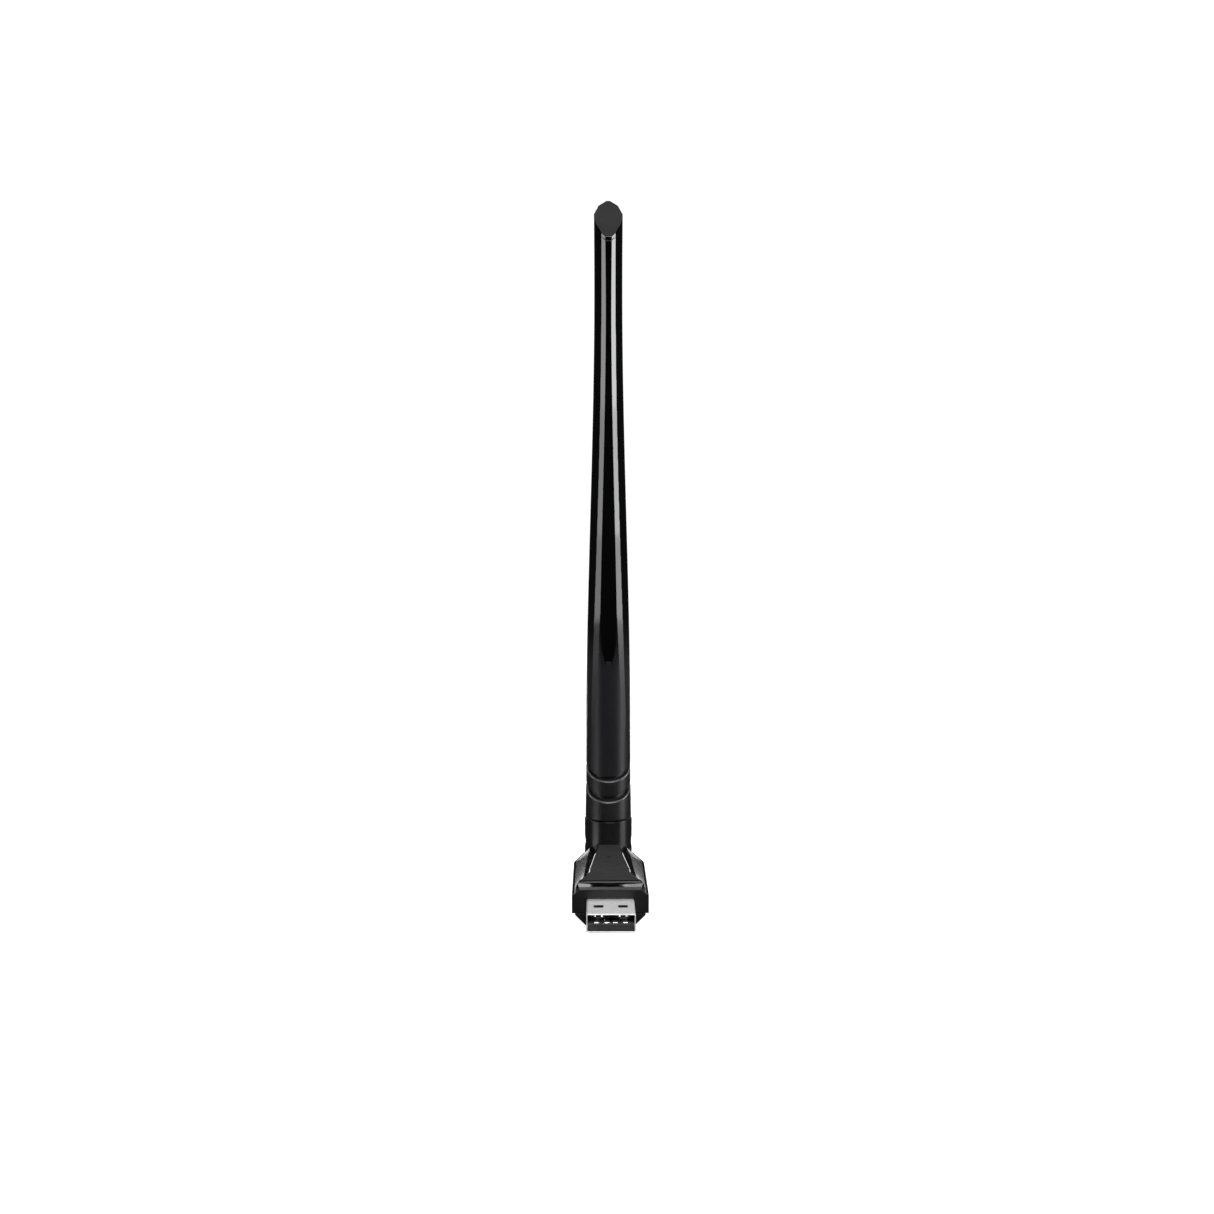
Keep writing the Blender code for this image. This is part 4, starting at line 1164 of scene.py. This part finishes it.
def make_foot(sizes):
    """Lower end of the antenna: collar, spigot and the tongue for the fold."""
    count = sizes.columns
    soft = sizes.groove_edge / MM
    low = FOOT_LOW
    wide = KNUCKLE_HIGH[0] - 0.2
    front = -STEM_R

    def ring(radius, z, slope=0.0):
        return slanted_ring(z, slope * GROOVE_SLOPE, front, count, radius=radius)

    rings = [ring(wide - 0.35 - 0.3, low)]
    rings += [ring(wide - inset, low + advance) for inset, advance in quarter(0.35, 5)]
    rows = 8
    top = BASE_EDGE - soft
    for row in range(1, rows + 1):
        part = row / rows
        rings.append(ring(wide - 0.12 * part, low + 0.35 + (top - low - 0.35) * part, part))
    wide -= 0.12
    rings += [ring(wide - inset, BASE_EDGE - advance, 1.0)
              for inset, advance in reversed(quarter(soft, 5)[:-1])]
    rings.append(ring(SPIGOT_R, BASE_EDGE, 1.0))
    rings += [ring(SPIGOT_R, z, slope) for z, slope in
              ((19.5, 1.0), (23.0, 1.0), (26.0, 0.7), (29.0, 0.4), (32.0, 0.15))]
    rings += [ring(SPIGOT_R, SPIGOT_TOP - 0.3), ring(SPIGOT_R - 0.3, SPIGOT_TOP)]
    foot = new_piece("antenna_foot", skin(rings), ["foot", "rim"])
    paint_rim_highlight(foot, low + 2.0)

    outline = [Vector((AXIS_Y + TONGUE_R * math.cos(math.pi + math.pi * step / 32),
                       FOLD_Z + TONGUE_R * math.sin(math.pi + math.pi * step / 32)))
               for step in range(33)]
    outline += [Vector((AXIS_Y + TONGUE_R, low + 1.0)), Vector((AXIS_Y - TONGUE_R, low + 1.0))]
    tongue = rounded_prism(along_x, outline, -TONGUE_HALF, TONGUE_HALF, 0.15, 3, 4)
    carve(foot, tongue, operation="UNION")
    channel = 0.85
    top = low - 0.6
    front = AXIS_Y - TONGUE_R
    carve(foot,
          rod(along_z, (0, AXIS_Y), BORE_R, low - 1.5, SPIGOT_TOP + 1),
          block((-channel, front - 1.0, 0), (channel, front + 1.6, top), 0.1),
          block((-channel, front - 0.2, top - 2.6), (channel, AXIS_Y, top + 1.2), 0.1),
          rod(along_x, FOLD_AXIS, PIN_SINK_R, -2 * TONGUE_HALF, 2 * TONGUE_HALF))
    hand_over(foot, "antenna", "gloss_antenna", "antenna_base")


def make_ring(sizes):
    """Slanted ring between the foot and the cover."""
    count = sizes.columns
    soft = sizes.groove_edge / MM
    front = -STEM_R

    def ring(radius, z):
        return slanted_ring(z, GROOVE_SLOPE, front, count, radius=radius)

    rings = [ring(STEM_R - inset, RING_LOW + advance) for inset, advance in quarter(0.2, 4)]
    rings += [ring(STEM_R, RING_LOW + 0.2 + (RING_HIGH - soft - RING_LOW - 0.2) * part)
              for part in (0.2, 0.4, 0.6, 0.8)]
    rings += [ring(STEM_R - inset, RING_HIGH - advance)
              for inset, advance in reversed(quarter(soft, 5))]
    rings += [ring(SLEEVE_R, z) for z in (RING_HIGH, RING_HIGH - 2.0, RING_LOW)]
    band = new_piece("antenna_band", skin(rings, closed=True), ["foot", "rim"])
    paint_rim_highlight(band, RING_LOW + 0.5)
    hand_over(band, "antenna", "gloss_antenna", "antenna_ring")


def cover_slope(height):
    """Tilt of a loop: that of the groove below, level, then that of the tip."""
    if height < LEVEL_BY:
        part = (LEVEL_BY - height) / (LEVEL_BY - COVER_LOW)
        return GROOVE_SLOPE * part, -STEM_R
    if height > SLANT_FROM:
        part = (height - SLANT_FROM) / (TIP_Z - CAP_THICK - CAP_GAP - SLANT_FROM)
        return TIP_SLOPE * part, 0.0
    return 0.0, 0.0


def make_cover():
    """Long faceted cover over the spigot, open at the slanted tip."""
    top = TIP_Z - CAP_THICK - CAP_GAP
    count = COVER_COLUMNS
    rings = [slanted_ring(COVER_LOW + advance, GROOVE_SLOPE, -STEM_R, count, inset)
             for inset, advance in quarter(0.2, 4)]
    rows = 176
    low = COVER_LOW + 0.2
    for row in range(1, rows):
        height = low + (top - low) * row / rows
        rings.append(slanted_ring(height, *cover_slope(height), count))
    rings += [slanted_ring(top - advance, TIP_SLOPE, 0.0, count, inset)
              for inset, advance in reversed(quarter(0.03, 2))]
    stub = half_width(TIP_Z) - COVER_WALL
    rings += [slanted_ring(height, slope, pivot, count, radius=radius)
              for height, slope, pivot, radius in (
                  (top, TIP_SLOPE, 0.0, stub), (SLANT_FROM, 0.0, 0.0, stub),
                  (90.0, 0.0, 0.0, half_width(90.0) - COVER_WALL),
                  (SPIGOT_TOP + 4.5, 0.0, 0.0, SLEEVE_R - 0.4),
                  (SPIGOT_TOP + 0.5, 0.0, 0.0, SLEEVE_R),
                  (COVER_LOW, GROOVE_SLOPE, -STEM_R, SLEEVE_R))]
    cover = new_piece("antenna_cover_shell", skin(rings, closed=True), ["cover", "polished"],
                      smooth=6)
    repaint(cover, 1, lambda at, normal: at.z > FACET_START and normal.y < -0.996)
    hand_over(cover, "antenna", "gloss_antenna", "antenna_cover", smooth=6)


def make_tip():
    """Slanted cap with a softened rim and a stub inside the cover."""
    count = COVER_COLUMNS
    low = TIP_Z - CAP_THICK
    stub = half_width(TIP_Z) - COVER_WALL - 0.2
    soft = 0.22
    rings = [slanted_ring(TIP_Z - 11.0, 0.0, 0.0, count, radius=stub - 0.3),
             slanted_ring(TIP_Z - 10.5, 0.0, 0.0, count, radius=stub),
             slanted_ring(low, TIP_SLOPE, 0.0, count, radius=stub)]
    rings += [slanted_ring(low + advance, TIP_SLOPE, 0.0, count, inset)
              for inset, advance in quarter(0.06, 2)]
    rings += [slanted_ring(low + CAP_THICK * part, TIP_SLOPE, 0.0, count) for part in (0.3, 0.6)]
    rings += [slanted_ring(TIP_Z - advance, TIP_SLOPE, 0.0, count, inset)
              for inset, advance in reversed(quarter(soft, 5))]
    rings += [slanted_ring(TIP_Z, TIP_SLOPE, 0.0, count, soft + reach)
              for reach in (0.12, 0.4, 0.9, 1.6)]
    cap = new_piece("antenna_tip", skin(rings), ["matte", "polished"])
    upright = Vector((0.0, -TIP_SLOPE, 1.0)).normalized()
    repaint(cap, 1, lambda at, normal: normal.dot(upright) < 0.9)
    hand_over(cap, "antenna", "matte_plate", "antenna_tip_cap")


# --------------------------------------------------------------- inner parts

INNER_FINISHES = {
    "main_board": "board", "aerial_board": "board",
    "radio_chip": "chip", "memory_chip": "chip", "power_inductor": "chip",
    "shield_can": "nickel", "crystal": "nickel",
    "led": "light", "coax_connector": "gold",
    "body_lead": "jacket", "antenna_lead": "jacket",
    "swivel_bush": "bush", "fold_bush": "bush",
    "friction_washer": "steel", "retaining_clip": "steel",
}


def paint_inner_parts():
    """Give each frame part that stays its own finish."""
    for node, finish in INNER_FINISHES.items():
        mesh = frame["nodes"][node].data
        mesh.materials.clear()
        mesh.materials.append(FINISHES[finish])


# -------------------------------------------------------------------- studio

# Name, azimuth from the front, height, distance, width, tall, radiance.
LAMPS = (
    ("key_right_top", 80, 0.255, 0.46, 0.20, 0.140, 12.0),
    ("key_right_upper", 80, 0.145, 0.46, 0.20, 0.080, 9.0),
    ("key_right_middle", 80, 0.075, 0.46, 0.20, 0.060, 5.5),
    ("key_right_low", 80, 0.022, 0.46, 0.20, 0.046, 1.8),
    ("key_left_top", -82, 0.255, 0.46, 0.17, 0.140, 5.4),
    ("key_left_upper", -82, 0.145, 0.46, 0.17, 0.080, 4.4),
    ("key_left_middle", -82, 0.075, 0.46, 0.17, 0.060, 3.3),
    ("key_left_low", -58, 0.060, 0.46, 0.07, 0.120, 2.6),
    ("foot_right", 74, -0.026, 0.24, 0.13, 0.060, 1.7),
    ("foot_left", -62, -0.026, 0.24, 0.10, 0.060, 0.8),
    ("knuckle_right", 76, -0.074, 0.24, 0.13, 0.030, 1.6),
    ("knuckle_left", -66, -0.074, 0.24, 0.14, 0.030, 3.6),
    ("top_back_left", -158, 0.50, 0.30, 0.22, 0.20, 5.6),
    ("top_back_right", 156, 0.50, 0.30, 0.20, 0.20, 4.4),
    ("rear_right", 162, 0.044, 0.60, 0.20, 0.070, 0.42),
    ("rear_left", -162, 0.044, 0.60, 0.20, 0.070, 0.45),
    ("edge_right", 163, -0.052, 0.60, 0.20, 0.060, 3.2),
    ("edge_left", -163, -0.052, 0.60, 0.20, 0.060, 4.4),
    ("front_top", 6, 0.560, 0.56, 0.50, 0.30, 8.8),
    ("rear_low", 180, -0.060, 0.60, 0.16, 0.300, 1.2),
)
TARGET = Vector((0.0, 0.047, 0.0))
CAMERA_PLACE = (-3.9, -299.45, 95.7)
CAMERA_YAW = 0.583
CAMERA_PITCH = -3.8
FLOOR_DROP = 0.02
COVE = 500.0
WALL_TOP = 2600.0
FLOOR_COLUMNS = 96


def make_lamp(name, azimuth, height, distance, width, tall, radiance, brightness):
    """A soft box of a given brightness, turned to the foot or the middle of the antenna."""
    lamp = bpy.data.lights.new(name, "AREA")
    lamp.shape = "RECTANGLE"
    lamp.size = width
    lamp.size_y = tall
    lamp.energy = radiance * math.pi * width * tall * brightness
    item = link(name, lamp)
    turn = math.radians(azimuth)
    level = Vector((math.sin(turn), -math.cos(turn), 0.0)) * distance
    item.location = TARGET + level + Vector((0.0, 0.0, height))
    facing = level if height < 0.4 else item.location - TARGET
    item.rotation_mode = "QUATERNION"
    item.rotation_quaternion = (-facing).to_track_quat("-Z", "Y")
    item.visible_camera = False


def make_backdrop(studio):
    """A round pale floor that curves up into the wall, open above."""
    radius = studio.radius / MM
    floor_z = CAD_BOX[0][2] / MM - FLOOR_DROP
    profile = [(radius * part, floor_z) for part in (0.02, 0.06, 0.15, 0.3, 0.5)]
    for step in range(11):
        turn = math.radians(9 * step)
        profile.append((radius - COVE + COVE * math.sin(turn),
                        floor_z + COVE - COVE * math.cos(turn)))
    profile.append((radius, WALL_TOP))
    bm = bmesh.new()
    loops = [[bm.verts.new(Vector((point.x, point.y, z)) * MM)
              for point in circle(reach, FLOOR_COLUMNS, (0, AXIS_Y))] for reach, z in profile]
    for low, high in zip(loops, loops[1:]):
        for i in range(FLOOR_COLUMNS):
            j = (i + 1) % FLOOR_COLUMNS
            bm.faces.new((low[i], low[j], high[j], high[i]))
    bm.faces.new(loops[0])
    backdrop = new_piece("studio_floor", bm)
    finish = Finish("floor_paper", Roughness=0.9, Specular_IOR_Level=0.0,
                    Emission_Strength=0.97, Emission_Color=(1, 1, 1, 1))
    shade = finish.blend(finish.noise(0.004), opaque(studio.floor), opaque(studio.floor, 1.02))
    backdrop.data.materials.append(finish.surface(shade))
    for rays in ("glossy", "diffuse", "shadow"):
        setattr(backdrop, f"visible_{rays}", False)


def make_camera():
    """Eye level a little above the adapter, looking down its plug."""
    camera = bpy.data.cameras.new("view")
    camera.sensor_width = 36.0
    camera.lens = 36.0
    camera.clip_start = 0.01
    camera.clip_end = 20.0
    item = link("view", camera)
    item.location = Vector(CAMERA_PLACE) * MM
    item.rotation_mode = "XYZ"
    item.rotation_euler = (math.radians(90 + CAMERA_PITCH), 0.0, -math.radians(CAMERA_YAW))
    bpy.context.scene.camera = item


def make_studio(studio):
    scene = bpy.context.scene
    make_camera()
    make_backdrop(studio)
    for values in LAMPS:
        make_lamp(*values, studio.brightness)
    world = bpy.data.worlds.new("studio_air")
    world.use_nodes = True
    background = world.node_tree.nodes["Background"]
    background.inputs["Color"].default_value = (0.9, 0.95, 1.0, 1.0)
    background.inputs["Strength"].default_value = 0.024
    scene.world = world
    scene.view_settings.view_transform = "Standard"


# ----------------------------------------------------------------- operators

def ready(context):
    """The scene, once its finishes exist."""
    if not FINISHES:
        make_finishes(context.scene.adapter_colours)
    return context.scene


class MakePlug(bpy.types.Operator):
    """Make the plug's metal shell and its moulded tongue."""

    bl_idname = "adapter.make_plug"
    bl_label = "Plug"
    bl_options = {"REGISTER", "UNDO"}

    def execute(self, context):
        ready(context)
        make_plug_shell()
        make_plug_tongue()
        return {"FINISHED"}


class MakeContacts(bpy.types.Operator):
    """Make the flat and the sprung contacts in the plug."""

    bl_idname = "adapter.make_contacts"
    bl_label = "Contacts"
    bl_options = {"REGISTER", "UNDO"}

    def execute(self, context):
        ready(context)
        make_contacts()
        return {"FINISHED"}


class MakeUpperShell(bpy.types.Operator):
    """Make the faceted upper shell of the body."""

    bl_idname = "adapter.make_upper_shell"
    bl_label = "Upper shell"
    bl_options = {"REGISTER", "UNDO"}

    def execute(self, context):
        scene = ready(context)
        make_upper_shell(scene.adapter_sizes)
        return {"FINISHED"}


class MakeTopPlate(bpy.types.Operator):
    """Make the matte plate and the indicator in it."""

    bl_idname = "adapter.make_top_plate"
    bl_label = "Top plate and indicator"
    bl_options = {"REGISTER", "UNDO"}

    def execute(self, context):
        scene = ready(context)
        make_top_plate(scene.adapter_sizes)
        make_light_pipe()
        return {"FINISHED"}


class MakeLowerTray(bpy.types.Operator):
    """Make the lower tray of the body."""

    bl_idname = "adapter.make_lower_tray"
    bl_label = "Lower tray"
    bl_options = {"REGISTER", "UNDO"}

    def execute(self, context):
        ready(context)
        make_lower_tray()
        return {"FINISHED"}


class MakeKnuckle(bpy.types.Operator):
    """Make the swivelling knuckle and its fold pin."""

    bl_idname = "adapter.make_knuckle"
    bl_label = "Knuckle and pin"
    bl_options = {"REGISTER", "UNDO"}

    def execute(self, context):
        scene = ready(context)
        make_knuckle(scene.adapter_sizes)
        make_pin()
        return {"FINISHED"}


class MakeAntennaFoot(bpy.types.Operator):
    """Make the antenna's foot and the slanted ring."""

    bl_idname = "adapter.make_antenna_foot"
    bl_label = "Antenna foot and ring"
    bl_options = {"REGISTER", "UNDO"}

    def execute(self, context):
        scene = ready(context)
        make_foot(scene.adapter_sizes)
        make_ring(scene.adapter_sizes)
        return {"FINISHED"}


class MakeAntennaCover(bpy.types.Operator):
    """Make the antenna's long faceted cover and its tip."""

    bl_idname = "adapter.make_antenna_cover"
    bl_label = "Antenna cover and tip"
    bl_options = {"REGISTER", "UNDO"}

    def execute(self, context):
        ready(context)
        make_cover()
        make_tip()
        return {"FINISHED"}


class PaintInnerParts(bpy.types.Operator):
    """Give the boards, chips, leads and swivel hardware their finishes."""

    bl_idname = "adapter.paint_inner_parts"
    bl_label = "Inner parts"
    bl_options = {"REGISTER", "UNDO"}

    def execute(self, context):
        ready(context)
        paint_inner_parts()
        return {"FINISHED"}


class MakeStudio(bpy.types.Operator):
    """Make the floor, the lamps and the camera."""

    bl_idname = "adapter.make_studio"
    bl_label = "Studio"
    bl_options = {"REGISTER", "UNDO"}

    def execute(self, context):
        scene = ready(context)
        make_studio(scene.adapter_studio)
        return {"FINISHED"}


STEPS = (MakePlug, MakeContacts, MakeUpperShell, MakeTopPlate, MakeLowerTray, MakeKnuckle,
         MakeAntennaFoot, MakeAntennaCover, PaintInnerParts, MakeStudio)


class AdapterPanel(bpy.types.Panel):
    """Lists the adapter's settings and steps."""

    bl_idname = "VIEW3D_PT_adapter"
    bl_label = "Wireless Adapter"
    bl_space_type = "VIEW_3D"
    bl_region_type = "UI"
    bl_category = "Adapter"

    def draw(self, context):
        scene = context.scene
        for group in (scene.adapter_sizes, scene.adapter_colours, scene.adapter_studio):
            box = self.layout.box()
            for name in group.bl_rna.properties.keys():
                if name not in ("rna_type", "name"):
                    box.prop(group, name)
        for step in STEPS:
            self.layout.operator(step.bl_idname)


GROUPS = {"adapter_sizes": AdapterSizes, "adapter_colours": AdapterColours,
          "adapter_studio": AdapterStudio}
CLASSES = (*GROUPS.values(), *STEPS, AdapterPanel)


def register():
    for item in CLASSES:
        bpy.utils.register_class(item)
    for name, group in GROUPS.items():
        setattr(bpy.types.Scene, name, PointerProperty(type=group))


def unregister():
    for name in GROUPS:
        delattr(bpy.types.Scene, name)
    for item in reversed(CLASSES):
        bpy.utils.unregister_class(item)


def main():
    register()
    for step in STEPS:
        group, name = step.bl_idname.split(".")
        getattr(getattr(bpy.ops, group), name)()
    bpy.context.view_layer.update()


if __name__ == "__main__":
    main()
